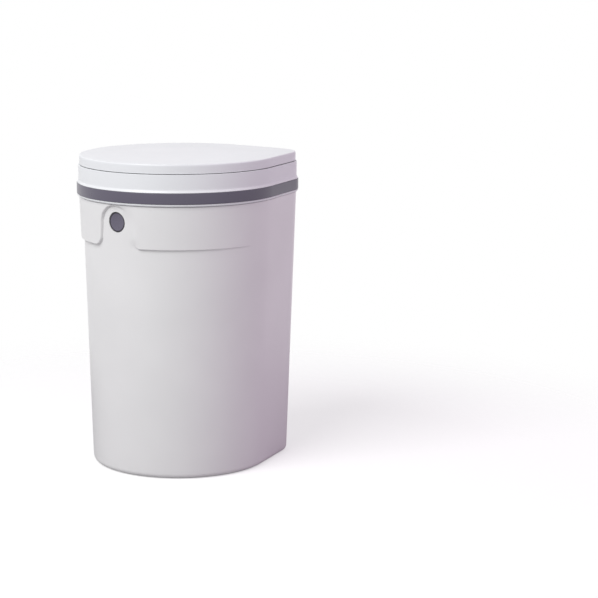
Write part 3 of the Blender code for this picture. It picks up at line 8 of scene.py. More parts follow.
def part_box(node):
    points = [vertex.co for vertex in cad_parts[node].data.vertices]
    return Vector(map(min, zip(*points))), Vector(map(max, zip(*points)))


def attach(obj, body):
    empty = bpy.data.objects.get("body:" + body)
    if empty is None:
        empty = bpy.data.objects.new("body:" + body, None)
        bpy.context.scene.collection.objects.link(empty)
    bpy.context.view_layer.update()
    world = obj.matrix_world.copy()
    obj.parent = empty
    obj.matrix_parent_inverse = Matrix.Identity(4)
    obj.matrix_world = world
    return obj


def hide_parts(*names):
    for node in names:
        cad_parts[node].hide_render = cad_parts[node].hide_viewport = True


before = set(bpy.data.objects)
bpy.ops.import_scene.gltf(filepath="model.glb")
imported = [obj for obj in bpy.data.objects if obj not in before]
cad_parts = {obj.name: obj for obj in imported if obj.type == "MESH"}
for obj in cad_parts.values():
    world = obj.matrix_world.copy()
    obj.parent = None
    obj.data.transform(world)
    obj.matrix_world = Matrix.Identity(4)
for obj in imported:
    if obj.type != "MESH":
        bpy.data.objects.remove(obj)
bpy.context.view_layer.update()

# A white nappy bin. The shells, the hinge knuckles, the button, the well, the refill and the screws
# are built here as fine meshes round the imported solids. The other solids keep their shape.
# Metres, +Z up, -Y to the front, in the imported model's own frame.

# Main levels
HEIGHT = 0.460
LID_BOTTOM_Z = 0.4470
COLLAR_TOP_Z = 0.4450
DECK_Z = 0.4405
RIM_Z = 0.4000
BELT_Z = 0.3368

# Outline from above
FRONT_RADIUS = 0.1478
CORNER_RADIUS = FRONT_RADIUS * 0.3051
FLAT_TURN = math.radians(77.1)
CORNER_TURN = math.pi - FLAT_TURN / 2
SIDE_TURN = math.pi - FLAT_TURN

# Edge widths that the pieces share
CRISP_EDGE = 0.0002
FINE_EDGE = 0.0003
THIN_EDGE = 0.0004
SMALL_EDGE = 0.0005
PLAIN_EDGE = 0.0006
FULL_EDGE = 0.0007
SOFT_EDGE = 0.0008

# Tub
TUB_WALL = 0.0026
TUB_FLOOR = 0.0035
BASE_INSET = 0.0146
BASE_EDGE = 0.0080
RIM_EDGE = 0.0006
FLOOR_FILLET = 0.006
BELT_STEP = 0.0019
BELT_FOOT = 0.0002
BELT_ROUND = 0.0018
BELT_POWER = 2.4
SCOOP_ROUND = 0.0030
SCOOP_POWER = 3.2
BELT_RUN_OUT = 0.035
BELT_RUN_OUT_TURNS = (math.radians(64.4), math.radians(57.0))
RECESS_DEPTH = 0.0015
RECESS_MARGIN = 0.014
RECESS_EDGE = 0.0004
BOSS_RADIUS = 0.030
BELT_ROW = 0.0006
LOWER_ROWS = 10
EDGE_ROWS = 8
LEDGE_ROWS = 12
TUB_LEFT_STEPS = 70
TUB_RIGHT_STEPS = 50

# Button and thumb scoop
BUTTON_X = 0.0018
BUTTON_Z = 0.3736
BUTTON_RADIUS = 0.0145
BUTTON_CLEARANCE = 0.0003
BUTTON_EDGE = 0.0007
BUTTON_DISH = 0.0013
BUTTON_DISH_EDGE = 0.004
BUTTON_SLOPE_SHARE = 0.5
BUTTON_SLOPE_DISH_SHARE = 0.8
BUTTON_RIDGE_START_SHARE = 1.5
BUTTON_RIDGE_END_SHARE = 0.4
BUTTON_RIDGE_EDGE = 0.002
FLANGE_RADIUS = 0.0165
FLANGE_DEPTH = 0.0029
FLANGE_THICK = 0.0010
STEM_RADIUS = 0.0035
SCOOP_X = 0.0012
SCOOP_RADIUS = 0.0268
SCOOP_TOP_Z = 0.3970
SCOOP_LEAN = 0.10
SCOOP_CORNER_RADIUS = 0.016
SCOOP_FADED_CORNER_RADIUS = 0.010
SCOOP_FADE_WIDTH = 0.024
SCOOP_FADE_TURNS = (math.radians(10), math.radians(50))
SCOOP_FADE_REACHES = (0.0255, 0.042)
SCOOP_FADE_RISE = 0.016
ARCH_Z = SCOOP_TOP_Z - SCOOP_RADIUS
SCOOP_START_TURN = math.radians(-19)
SCOOP_END_TURN = math.radians(26)
SCOOP_COLUMN = 0.0006

# Head
PARTING_GAP = 0.0006
SEAM_DROP = 0.0011
BAND_DROP = 0.0006
SPIGOT_DEPTH = 0.0062
SPIGOT_CLEARANCE = 0.0010
SPIGOT_WALL = 0.0024
LIP_REACH = 0.0027
LIP_TOP_REACH = 0.0026
LIP_BOTTOM_REACH = 0.0006
LIP_HEIGHT = 0.0030
LIP_BELLY_SHARE = 0.40
LIP_BELLY_EDGE = 0.0014
HEAD_FLOOR = 0.0026
BAND_HEIGHT = 0.0162
BAND_THICK = 0.0023
BAND_REACH = 0.0036
BAND_FACE = 0.0033
SEAT_GAP = 0.0003
FLARE_HEIGHT = 0.0036
FLARE_RISE_SHARE = 0.25
FLARE_REACH_SHARE = 0.92
FLARE_TOP_EDGE = 0.0016
COLLAR_REACH = 0.0008
HEAD_WALL = 0.0026
DECK_THICK = 0.0025
HEAD_BOTTOM_Z = RIM_Z + PARTING_GAP
LIP_BOTTOM_Z = HEAD_BOTTOM_Z - SEAM_DROP
BAND_BOTTOM_Z = HEAD_BOTTOM_Z + LIP_HEIGHT - BAND_DROP
BAND_TOP_Z = BAND_BOTTOM_Z + BAND_HEIGHT
HEAD_FLOOR_Z = HEAD_BOTTOM_Z + HEAD_FLOOR

# Lid
LID_HEM_Z = 0.4458
LID_REACH = -0.0009
LID_EDGE = 0.0030
LID_INNER_EDGE_SHARE = 0.8
LID_SHOULDER_SHARE = 1.5
LID_EDGE_STEPS = 8
LID_CROWN = 0.0006
LID_CROWN_REACH = -0.0275
LID_CROWN_ROWS = 6
LID_WALL = 0.0026
LINER_THICK = 0.0020
LINER_MARGIN = 0.004
LINER_BOTTOM_Z = LID_BOTTOM_Z + SEAT_GAP
LINER_TOP_Z = LINER_BOTTOM_Z + LINER_THICK

# Hinges
HINGE_X = FRONT_RADIUS * 0.1353
HEAD_AXIS_Y = FRONT_RADIUS + 0.0106
HEAD_AXIS_Z = RIM_Z + PARTING_GAP / 2
HEAD_BARREL_RADIUS = 0.0050
HEAD_BARREL_HALF = FRONT_RADIUS * 0.203
TUB_EAR_WIDTH = FRONT_RADIUS * 0.0947
LID_AXIS_Y = FRONT_RADIUS + 0.0062
LID_AXIS_Z = 0.4464
LID_BARREL_RADIUS = 0.0040
LID_BARREL_HALF = FRONT_RADIUS * 0.0981
HEAD_EAR_WIDTH = FRONT_RADIUS * 0.0812
BARREL_GAP = 0.0005
EAR_THICK = 0.0070
PIN_BORE = 0.0018
KNUCKLE_EDGE = 0.0004
KNUCKLE_CORNER = 0.0020
KNUCKLE_STEPS = 40

# Foot pads
PAD_GROOVE = 0.0003
PAD_GROOVE_SHARES = (0.60, 0.63, 0.67, 0.70)

# Well and refill
FLANGE_TOP_Z = DECK_Z + SEAT_GAP + 0.0020
REFILL_OUTER_RADIUS = FRONT_RADIUS * 0.6258
REFILL_INNER_RADIUS = REFILL_OUTER_RADIUS * 0.6811
REFILL_HEIGHT = 0.0620
CARD_THICK = 0.0012
CARD_INNER_RADIUS = REFILL_INNER_RADIUS + CARD_THICK
CARD_OUTER_RADIUS = REFILL_OUTER_RADIUS - CARD_THICK
FILM_BULGE = 0.0105
FILM_ROOM = 0.0014
FILM_PLEATS = 36
FILM_LINES = 4
FILM_LONG_SHARE = 0.6
FILM_LONG_WAVES = ((0.45, 2, 0.7), (0.2, 5, 2.0))
FILM_SLANT = 1.7
FILM_SLANT_WAVES = ((-0.35, 3, 1.1), (0.15, 8, 0.0))
FILM_CREASE_LEAN = 5
FILM_CREASE_WAVES = ((3, 3, 0.0),)
FILM_SIDE_SHARE = 0.4
FILM_FOLD = 0.0006
FILM_CREASE = 0.00025
FILM_PINCH = 0.00025
FILM_HELD_SHARE = 0.40
FILM_HANG = 0.0034
FILM_HANG_SHARE = 0.62
FILM_HANG_WAVES = ((0.22, 5, 0.4), (0.16, 13, 1.9))
FILM_OVER_RATE = 3
FILM_DOWN_RATE = 1.5
FILM_HELD_HEM = (0.0003, 0.0006, 0.0009, 0.0013, 0.0018, 0.0025)
FILM_LAPPED_HEM = (
    (0.0001, 0.0004), (-0.0003, 0.0003), (-0.0006, 0.0004), (-0.0010, 0.0010), (-0.0008, 0.0026),
)
FILM_HUNG_HEM = (
    (-0.0001, 0.0003, 0), (-0.0003, 0.0, 1), (-0.0008, -0.0004, 1),
    (-0.0013, 0.0003, 1), (-0.0014, 0.0022, 0),
)
FILM_COLUMNS = 720
FILM_ROWS = 40
FILM_START_SHARE = 0.15
PAPER_THICK = 0.0004
PAPER_WIDTH = 0.025
PAPER_DROP = 0.020
PAPER_INNER_DROP = REFILL_HEIGHT - 0.0015
PAPER_COUNT = 4
PAPER_COLUMNS = 12
PAPER_ROWS = 32
PAPER_SAG = 0.00012
PAPER_SAG_RATE = 1.7
WELL_RADIUS = REFILL_OUTER_RADIUS + 0.0020
WELL_OUTER = WELL_RADIUS + 0.0025
WELL_FLANGE_RADIUS = WELL_OUTER + 0.0170
WELL_HOLE_RADIUS = WELL_OUTER + 0.0007
WELL_SEAT_Z = FLANGE_TOP_Z - FILM_ROOM - FILM_BULGE - REFILL_HEIGHT - SEAT_GAP
WELL_FLOOR_Z = WELL_SEAT_Z - 0.0024
REFILL_BOTTOM_Z = WELL_SEAT_Z + SEAT_GAP
REFILL_TOP_Z = REFILL_BOTTOM_Z + REFILL_HEIGHT
WELL_BRIM_EDGE = 0.0011
WELL_SEAT_EDGE = 0.0012
WELL_HEEL_EDGE = 0.0030
THROAT_ROOT_EDGE = 0.0015
THROAT_RADIUS = REFILL_INNER_RADIUS - 0.0050
THROAT_OUTER = THROAT_RADIUS + 0.0024
THROAT_TOP_Z = WELL_SEAT_Z + 0.0160
THROAT_BOTTOM_Z = WELL_FLOOR_Z - 0.0100
TRAP_BOSS_RADIUS = 0.0040
TRAP_BOSS_RING = THROAT_RADIUS + 0.0140
TRAP_BOSS_TURNS = [math.radians(45 + 90 * i) for i in range(4)]
LINER_BOSS_RADIUS = 0.0040
LINER_BOSS_RING = WELL_FLANGE_RADIUS + 0.0080
LINER_BOSS_TURNS = [math.radians(turn) for turn in (-100, 0, 100)]
SEAL_RING = WELL_OUTER + 0.0035
SEAL_HALF = 0.0020
SEAL_HEIGHT = 0.0018
SEAL_BOTTOM_Z = FLANGE_TOP_Z + SEAT_GAP
SEAL_TOP_Z = SEAL_BOTTOM_Z + SEAL_HEIGHT

# Screws
SCREW_HEAD_HEIGHT = 0.0018
SCREW_DOME = 0.45
SCREW_FACE_SHARE = 0.62
SCREW_FACE_DIP = 0.00004
SCREW_SHANK = 0.0014
SCREW_POINT = 0.0008
SCREW_POINT_SHARE = 0.4
SCREW_CROSS = 0.0007
SCREW_CROSS_DEPTH = 0.0011
SCREW_CROSS_EDGE = 0.00015
SCREW_CROSS_TURN = math.pi / 5

# How many steps the outline and the round pieces take
FRONT_STEPS = 200
CORNER_STEPS = 36
FLAT_STEPS = 8
ROUND_STEPS = 5
TURNED_SEGMENTS = 128
RING_SEGMENTS = 160
PAD_SEGMENTS = 64
SMALL_SEGMENTS = 40
BORE_SEGMENTS = 32

# Shading
SHARP_ANGLE = math.radians(32)


def clamp(value):
    return min(max(value, 0.0), 1.0)


def smooth(value):
    value = clamp(value)
    return value * value * (3 - 2 * value)


def ramp(value, start, end):
    """0 at the start and 1 at the end, with a smooth way between them."""
    return smooth((value - start) / (end - start))


def between(first, second, share):
    return first + (second - first) * share


def spaced(start, end, steps):
    return [start + (end - start) * i / steps for i in range(steps + 1)]


def way(turn):
    """The direction at a turn from the front (-Y) towards +X."""
    return Vector((math.sin(turn), -math.cos(turn), 0.0))


CORNER_MIDDLE = way(CORNER_TURN) * (FRONT_RADIUS - CORNER_RADIUS) / math.cos(FLAT_TURN / 2)


# Meshes

def shade(mesh):
    """Smooth but for the sharp edges."""
    mesh.shade_smooth()
    mesh.set_sharp_from_angle(angle=SHARP_ANGLE)


def soften(made, edges, width, segments, clamped=False):
    """Round edges off in a bmesh."""
    bmesh.ops.bevel(
        made, geom=edges, offset=width, segments=segments, profile=0.5, affect="EDGES", clamp_overlap=clamped
    )


def add_object(name, data):
    added = bpy.data.objects.new(name, data)
    bpy.context.scene.collection.objects.link(added)
    return added


def finish_mesh(name, made):
    """An object from a bmesh, with its faces outward."""
    bmesh.ops.recalc_face_normals(made, faces=made.faces)
    mesh = bpy.data.meshes.new(name)
    made.to_mesh(mesh)
    made.free()
    shade(mesh)
    return add_object(name, mesh)


def lay(made, rings, joined=False):
    """Faces between rings of as many points each, in a bmesh; gives the rings' vertices."""
    rows = [[made.verts.new(point) for point in ring] for ring in rings]
    pairs = list(zip(rows, rows[1:]))
    if joined:
        pairs.append((rows[-1], rows[0]))
    for low, high in pairs:
        for i in range(len(low)):
            j = (i + 1) % len(low)
            made.faces.new((low[i], low[j], high[j], high[i]))
    return rows


def skin(name, rings, joined=False):
    """Skin through rings of as many points each: capped at both ends, or joined on itself."""
    made = bmesh.new()
    rows = lay(made, rings, joined)
    if not joined:
        made.faces.new(rows[0][::-1])
        made.faces.new(rows[-1])
    return finish_mesh(name, made)


def turned(name, profile, segments=TURNED_SEGMENTS, axis="Z", middle=(0.0, 0.0, 0.0)):
    """A profile of (radius, place along the axis) turned round an axis.

    It is closed on itself, or capped where it starts and ends on the axis.
    """
    middle = Vector(middle)
    capped = profile[0][0] == 0
    line = profile[1:-1] if capped else profile
    rings = []
    for radius, along in line:
        ring = []
        for turn in spaced(0.0, math.tau, segments)[:-1]:
            across, up = radius * math.cos(turn), radius * math.sin(turn)
            ring.append(middle + Vector((across, up, along) if axis == "Z" else (across, along, up)))
        rings.append(ring)
    if not capped:
        return skin(name, rings, joined=True)
    made = bmesh.new()
    rows = lay(made, rings)
    for row, (radius, along) in ((rows[0], profile[0]), (rows[-1], profile[-1])):
        hub = made.verts.new(middle + Vector((0, 0, along) if axis == "Z" else (0, along, 0)))
        for i in range(segments):
            made.faces.new((row[i], row[(i + 1) % segments], hub))
    return finish_mesh(name, made)


def rounded(corners, steps=ROUND_STEPS):
    """A line through corners, each of them rounded by the edge width that is its last number.

    The two ends of an open line have an edge width of 0.
    """
    line = []
    for i, (*spot, edge) in enumerate(corners):
        here = Vector(spot)
        if not edge:
            line.append(here)
            continue
        before = Vector(corners[i - 1][:-1]) - here
        after = Vector(corners[(i + 1) % len(corners)][:-1]) - here
        start = here + before.normalized() * min(edge, before.length / 2)
        end = here + after.normalized() * min(edge, after.length / 2)
        for share in spaced(0.0, 1.0, steps):
            line.append(start * (1 - share) ** 2 + here * (2 * share * (1 - share)) + end * share**2)
    return line


def box_piece(name, low, high, edge, segments=3):
    """A box with rounded edges."""
    made = bmesh.new()
    bmesh.ops.create_cube(made, size=1.0)
    size, middle = Vector(high) - Vector(low), (Vector(high) + Vector(low)) / 2
    place = Matrix.Translation(middle) @ Matrix.Diagonal((*size, 1.0))
    bmesh.ops.transform(made, matrix=place, verts=made.verts)
    soften(made, list(made.edges), edge, segments)
    return finish_mesh(name, made)


def rod(name, start, end, radius, segments):
    """A rod between two points."""
    start, end = Vector(start), Vector(end)
    along = end - start
    made = bmesh.new()
    bmesh.ops.create_cone(
        made, cap_ends=True, segments=segments, radius1=radius, radius2=radius, depth=along.length
    )
    turn = Vector((0, 0, 1)).rotation_difference(along).to_matrix().to_4x4()
    bmesh.ops.transform(made, matrix=Matrix.Translation((start + end) / 2) @ turn, verts=made.verts)
    return finish_mesh(name, made)


def carve(piece, tool):
    """Cut a tool out of a piece and take the tool away."""
    change = piece.modifiers.new("carve", "BOOLEAN")
    change.operation = "DIFFERENCE"
    change.solver = "EXACT"
    change.object = tool
    bpy.context.view_layer.update()
    graph = bpy.context.evaluated_depsgraph_get()
    mesh = bpy.data.meshes.new_from_object(piece.evaluated_get(graph))
    piece.modifiers.clear()
    old = piece.data
    piece.data = mesh
    mesh.name = piece.name
    bpy.data.meshes.remove(old)
    bpy.data.objects.remove(tool, do_unlink=True)
    shade(mesh)


# The outline from above

def even_front(start=-math.pi):
    return spaced(start, SIDE_TURN, FRONT_STEPS)


def stations(front_turns, back_end=1.0):
    """Places along the outline: the round front, the flat side, the corner and the flat back."""
    places = [("front", turn) for turn in front_turns]
    places += [("side", i / FLAT_STEPS) for i in range(1, FLAT_STEPS)]
    places += [("corner", SIDE_TURN + FLAT_TURN * i / CORNER_STEPS) for i in range(CORNER_STEPS + 1)]
    places += [("back", back_end * i / FLAT_STEPS) for i in range(1, FLAT_STEPS)]
    return places


def front_shift(shrink):
    return way(CORNER_TURN) * (shrink / math.cos(FLAT_TURN / 2))


def front_point(turn, reach, shrink):
    """A point of the round front, whose circle shrink draws in towards the corner."""
    return front_shift(shrink) + way(turn) * (FRONT_RADIUS + reach - shrink)


def plan_point(place, reach, shrink=0.0):
    part, value = place
    if part == "front":
        return front_point(value, reach, shrink)
    if part == "corner":
        return CORNER_MIDDLE + way(value) * (CORNER_RADIUS + reach)
    if part == "side":
        start, end = front_point(SIDE_TURN, reach, shrink), plan_point(("corner", SIDE_TURN), reach)
    else:
        start, end = plan_point(("corner", math.pi), reach), front_point(-math.pi, reach, shrink)
    return start.lerp(end, value)


EVEN = stations(even_front())


def plan_ring(z, reach, shrink, places=EVEN):
    return [plan_point(place, reach, shrink) + Vector((0, 0, z)) for place in places]


def round_ring(z, radius, places=EVEN):
    """A circle with a point for each place of the outline."""
    ring = []
    for place in places:
        spot = plan_point(place, 0.0)
        ring.append(way(math.atan2(spot.x, -spot.y)) * radius + Vector((0, 0, z)))
    return ring


# The tub

def draft(z):
    """How far the tub's wall leans in at a height."""
    return -BASE_INSET * (1 - z / RIM_Z)


def front_shrink(z):
    """How far the lower wall's round front lies behind the belt."""
    return BELT_STEP * min(z / BELT_Z, 1.0)


def lower_front_y(x, z):
    """The face of the lower wall, carried on upwards behind the belt."""
    shrink = front_shrink(z)
    shift = front_shift(shrink)
    radius = FRONT_RADIUS + draft(z) - shrink
    return shift.y - math.sqrt(radius**2 - (x - shift.x) ** 2)


def ledge(depth, width, power):
    """A moulded step's section: a crisp inner corner and a rounded outer edge."""
    return 1 - (1 - clamp((depth + BELT_FOOT) / width)) ** power


def belt_cover(z, turn):
    """0 on the lower wall, 1 on the belt; the step runs out softly towards the two flats."""
    away = abs((CORNER_TURN - turn + math.pi) % math.tau - math.pi)
    crisp = ledge(z - BELT_Z, BELT_ROUND, BELT_POWER)
    soft = smooth((z - BELT_Z + BELT_FOOT) / BELT_RUN_OUT)
    return between(crisp, soft, ramp(away, *BELT_RUN_OUT_TURNS))


def scoop_depth(x, z):
    """How far a point lies inside the scoop: an arch, two sides and two corners into the belt's edge."""
    across = abs(x - SCOOP_X)
    corner = SCOOP_CORNER_RADIUS if x < SCOOP_X else SCOOP_FADED_CORNER_RADIUS
    corner_z = BELT_Z + corner
    corner_x = SCOOP_RADIUS + (ARCH_Z - corner_z) * SCOOP_LEAN + corner
    if z >= ARCH_Z:
        return SCOOP_RADIUS - math.hypot(across, z - ARCH_Z)
    if z >= corner_z:
        return SCOOP_RADIUS + (ARCH_Z - z) * SCOOP_LEAN - across
    if across < corner_x:
        return math.hypot(corner_x - across, corner_z - z) - corner
    return BELT_Z - z


def scoop_softness(x, z):
    """0 where the scoop's edge is crisp, 1 on the right, where it fades away."""
    across = x - SCOOP_X
    if across <= 0:
        return 0.0
    above = ramp(math.atan2(across, z - BUTTON_Z), *SCOOP_FADE_TURNS)
    beside = 1 - ramp(across, *SCOOP_FADE_REACHES)
    return between(beside, above, smooth((z - BELT_Z) / SCOOP_FADE_RISE - 1))


def scoop_cover(x, z):
    """0 in the scoop, 1 on the belt."""
    depth = scoop_depth(x, z)
    beside = smooth((z - BELT_Z) / BELT_ROUND - 1)
    width, power = between(BELT_ROUND, SCOOP_ROUND, beside), between(BELT_POWER, SCOOP_POWER, beside)
    faded = smooth(0.5 - depth / SCOOP_FADE_WIDTH) * smooth((z - BELT_Z) / SCOOP_FADE_RISE)
    return between(ledge(-depth, width, power), faded, scoop_softness(x, z))


def tub_point(place, z, extra=0.0):
    """The tub's outer face: the lower wall, with the belt before it but for the scoop."""
    part, turn = place
    reach = draft(z) + extra
    low = plan_point(place, reach, front_shrink(z))
    if z < BELT_Z - BELT_FOOT:
        return low + Vector((0, 0, z))
    belt = plan_point(place, reach)
    cover = belt_cover(z, turn) if part == "front" else 0.0
    if part == "front" and SCOOP_START_TURN < turn < SCOOP_END_TURN:
        low = Vector((belt.x, lower_front_y(belt.x, z) - extra, 0.0))
        cover = scoop_cover(belt.x, z)
    return low.lerp(belt, cover) + Vector((0, 0, z))


def tub_turns():
    """Turns along the round front, close together across the scoop."""
    fine = int((SCOOP_END_TURN - SCOOP_START_TURN) / (SCOOP_COLUMN / FRONT_RADIUS))
    stretches = (
        (-math.pi, SCOOP_START_TURN, TUB_LEFT_STEPS),
        (SCOOP_START_TURN, SCOOP_END_TURN, fine),
        (SCOOP_END_TURN, SIDE_TURN, TUB_RIGHT_STEPS),
    )
    return [turn for stretch in stretches for turn in spaced(*stretch)[:-1]] + [SIDE_TURN]


def tub_shell():
    """The tub: recessed base, drafted wall, belt, scoop, rounded rim, inner wall and floor."""
    places = stations(tub_turns())

    def ring(z, reach, shrink=0.0):
        return plan_ring(z, reach, shrink, places)

    recess = draft(0.0) - RECESS_MARGIN
    rings = [
        round_ring(0.0, BOSS_RADIUS - RECESS_EDGE, places),
        round_ring(RECESS_EDGE, BOSS_RADIUS, places),
        round_ring(RECESS_DEPTH, BOSS_RADIUS, places),
        ring(RECESS_DEPTH, recess),
        ring(RECESS_EDGE, recess),
        ring(0.0, recess + RECESS_EDGE),
    ]
    for lift in spaced(0.0, math.pi / 2, EDGE_ROWS):
        z = BASE_EDGE * (1 - math.cos(lift))
        rings.append([tub_point(place, z, -BASE_EDGE * (1 - math.sin(lift))) for place in places])
    ledge_z = BELT_Z - BELT_ROUND
    heights = spaced(BASE_EDGE, ledge_z, LOWER_ROWS)[1:]
    heights += [BELT_Z - BELT_FOOT + BELT_ROUND * i / LEDGE_ROWS for i in range(LEDGE_ROWS + 1)]
    rim_z = RIM_Z - SEAM_DROP
    top = rim_z - RIM_EDGE
    steps = int((top - heights[-1]) / BELT_ROW)
    heights += spaced(heights[-1], top, steps)[1:]
    rings += [[tub_point(place, z) for place in places] for z in heights]
    for lift in spaced(0.0, math.pi / 2, EDGE_ROWS)[1:]:
        z = top + RIM_EDGE * math.sin(lift)
        rings.append([tub_point(place, z, -RIM_EDGE * (1 - math.cos(lift))) for place in places])
    inner_top = (top, -TUB_WALL, BELT_STEP)
    fillet_z = TUB_FLOOR + FLOOR_FILLET
    inner_low = (fillet_z, draft(FLOOR_FILLET) - TUB_WALL, front_shrink(FLOOR_FILLET))
    rings.append(ring(rim_z, RIM_EDGE - TUB_WALL, BELT_STEP))
    for share in spaced(0.0, 1.0, LOWER_ROWS):
        rings.append(ring(*[between(high, low, share) for high, low in zip(inner_top, inner_low)]))
    for i in range(1, EDGE_ROWS + 1):
        lift = math.pi / 2 * i / EDGE_ROWS
        z = fillet_z - FLOOR_FILLET * math.sin(lift)
        reach = inner_low[1] - FLOOR_FILLET * (1 - math.cos(lift))
        rings.append(ring(z, reach, inner_low[2] * (1 - i / EDGE_ROWS)))
    tub = skin("tub_shell", rings)
    hole_start = Vector((BUTTON_X, -FRONT_RADIUS - BASE_INSET, BUTTON_Z))
    hole_end = Vector((BUTTON_X, -FRONT_RADIUS + BASE_INSET, BUTTON_Z))
    carve(tub, rod("button_hole", hole_start, hole_end, BUTTON_RADIUS + BUTTON_CLEARANCE, TURNED_SEGMENTS))
    return tub


# The head, the band and the lid

def plan_rings(line):
    """Rings of the outline for a line of (reach, height, shrink)."""
    return [plan_ring(z, reach, shrink) for reach, z, shrink in line]


def head_shell():
    """The head: spigot, rounded lip, groove for the band, flare, collar, deck and the well's hole."""
    inset = TUB_WALL + SPIGOT_CLEARANCE
    spigot_low = RIM_Z - SPIGOT_DEPTH
    groove = BAND_REACH - BAND_THICK - SEAT_GAP
    inner = COLLAR_REACH - HEAD_WALL
    corners = [
        (inner, DECK_Z - DECK_THICK, 0.0, 0.0),
        (inner, HEAD_FLOOR_Z, 0.0, SOFT_EDGE),
        (-inset - SPIGOT_WALL, HEAD_FLOOR_Z, BELT_STEP, SMALL_EDGE),
        (-inset - SPIGOT_WALL, spigot_low, BELT_STEP, SMALL_EDGE),
        (-inset, spigot_low, BELT_STEP, SOFT_EDGE),
        (-inset, LIP_BOTTOM_Z, BELT_STEP, 0.0),
        (LIP_BOTTOM_REACH, LIP_BOTTOM_Z, 0.0, FINE_EDGE),
        (LIP_REACH, LIP_BOTTOM_Z + LIP_HEIGHT * LIP_BELLY_SHARE, 0.0, LIP_BELLY_EDGE),
        (LIP_TOP_REACH, BAND_BOTTOM_Z, 0.0, CRISP_EDGE),
        (groove, BAND_BOTTOM_Z, 0.0, 0.0),
        (groove, BAND_TOP_Z, 0.0, 0.0),
        (LIP_REACH, BAND_TOP_Z, 0.0, FINE_EDGE),
        (LIP_REACH * FLARE_REACH_SHARE, BAND_TOP_Z + FLARE_HEIGHT * FLARE_RISE_SHARE, 0.0, FULL_EDGE),
        (COLLAR_REACH, BAND_TOP_Z + FLARE_HEIGHT, 0.0, FLARE_TOP_EDGE),
        (COLLAR_REACH, COLLAR_TOP_Z, 0.0, PLAIN_EDGE),
        (inner, COLLAR_TOP_Z, 0.0, PLAIN_EDGE),
        (inner, DECK_Z, 0.0, 0.0),
    ]
    rings = plan_rings(rounded(corners))
    rings += [round_ring(DECK_Z, WELL_HOLE_RADIUS), round_ring(DECK_Z - DECK_THICK, WELL_HOLE_RADIUS)]
    return skin("head_shell_fine", rings, joined=True)


def band_ends():
    """The turn and the share of the flat back at which the band stops beside the hinge."""
    half = HEAD_BARREL_HALF + BARREL_GAP + SEAT_GAP
    start = -math.pi + math.asin((half - HINGE_X) / (FRONT_RADIUS + BAND_REACH))
    return start, 1 - (HINGE_X + half) / CORNER_MIDDLE.x


def trim_band():
    """The grey band, with soft edges, open at the back beside the hinge's pad."""
    start, back_end = band_ends()
    places = stations(even_front(start=start), back_end)
    places.append(("back", back_end))
    inner = BAND_REACH - BAND_THICK
    low, high = BAND_BOTTOM_Z + SEAT_GAP, BAND_TOP_Z - SEAT_GAP
    corners = [
        (inner, low, 0.0),
        (BAND_FACE, low, PLAIN_EDGE),
        (BAND_FACE, high, PLAIN_EDGE),
        (inner, high, 0.0),
    ]
    line = rounded(corners)
    sections = [[plan_point(place, reach) + Vector((0, 0, z)) for reach, z in line] for place in places]
    return skin("trim_band_fine", sections)


def lid_cover():
    """The lid: a nearly flat top with a soft rounded edge and a short wall."""
    inner = LID_REACH - LID_WALL
    edge_z = HEIGHT - LID_CROWN
    roof_z = edge_z - LID_WALL
    shoulder = LID_REACH - LID_EDGE * LID_SHOULDER_SHARE
    corners = [
        (inner - LID_EDGE, roof_z, 0.0, 0.0),
        (inner, roof_z, 0.0, LID_EDGE * LID_INNER_EDGE_SHARE),
        (inner, LID_HEM_Z, 0.0, SMALL_EDGE),
        (LID_REACH, LID_HEM_Z, 0.0, SMALL_EDGE),
        (LID_REACH, edge_z, 0.0, LID_EDGE),
        (shoulder, edge_z, 0.0, 0.0),
    ]
    line = rounded(corners, steps=LID_EDGE_STEPS)
    for share in spaced(0.0, 1.0, LID_CROWN_ROWS)[1:]:
        rise = LID_CROWN * math.sin(math.pi / 2 * share)
        line.append((between(shoulder, LID_CROWN_REACH, share), edge_z + rise, 0.0))
    return skin("lid_cover_fine", plan_rings(line))


def lid_liner():
    """The plate that closes the lid from below."""
    reach = LID_REACH - LID_WALL - SEAT_GAP
    corners = [
        (reach - LINER_MARGIN, LINER_BOTTOM_Z, 0.0, 0.0),
        (reach, LINER_BOTTOM_Z, 0.0, SMALL_EDGE),
        (reach, LINER_TOP_Z, 0.0, SMALL_EDGE),
        (reach - LINER_MARGIN, LINER_TOP_Z, 0.0, 0.0),
    ]
    return skin("lid_liner_fine", plan_rings(rounded(corners)))


# The hinge knuckles

def knuckle(name, start_x, end_x, axis, radius, wall_y, low_z, high_z):
    """A knuckle: a barrel on the axis with the arm that carries it, with rounded ends and a bore."""
    axis_y, axis_z = axis
    outline = [(wall_y, low_z, 0.0)]
    low_share, high_share = (low_z - axis_z) / radius, (high_z - axis_z) / radius
    start = -math.pi / 2
    if low_share > -1:
        start = -math.pi - math.asin(low_share)
    else:
        outline.append((axis_y, low_z, KNUCKLE_CORNER))
    end = math.pi - math.asin(high_share) if high_share < 1 else math.pi / 2
    for turn in spaced(start, end, KNUCKLE_STEPS):
        outline.append((axis_y + radius * math.cos(turn), axis_z + radius * math.sin(turn), 0.0))
    outline.append((wall_y, high_z, 0.0))
    line = rounded(outline)
    made = bmesh.new()
    ends = lay(made, [[(x, y, z) for y, z in line] for x in (start_x, end_x)])
    made.faces.new(ends[0][::-1])
    made.faces.new(ends[1])
    rims = [e for e in made.edges if abs(e.verts[0].co.x - e.verts[1].co.x) < KNUCKLE_EDGE]
    soften(made, rims, KNUCKLE_EDGE, segments=2, clamped=True)
    piece = finish_mesh(name, made)
    bore_start, bore_end = (start_x - PIN_BORE, axis_y, axis_z), (end_x + PIN_BORE, axis_y, axis_z)
    carve(piece, rod("bore", bore_start, bore_end, PIN_BORE, BORE_SEGMENTS))
    return piece


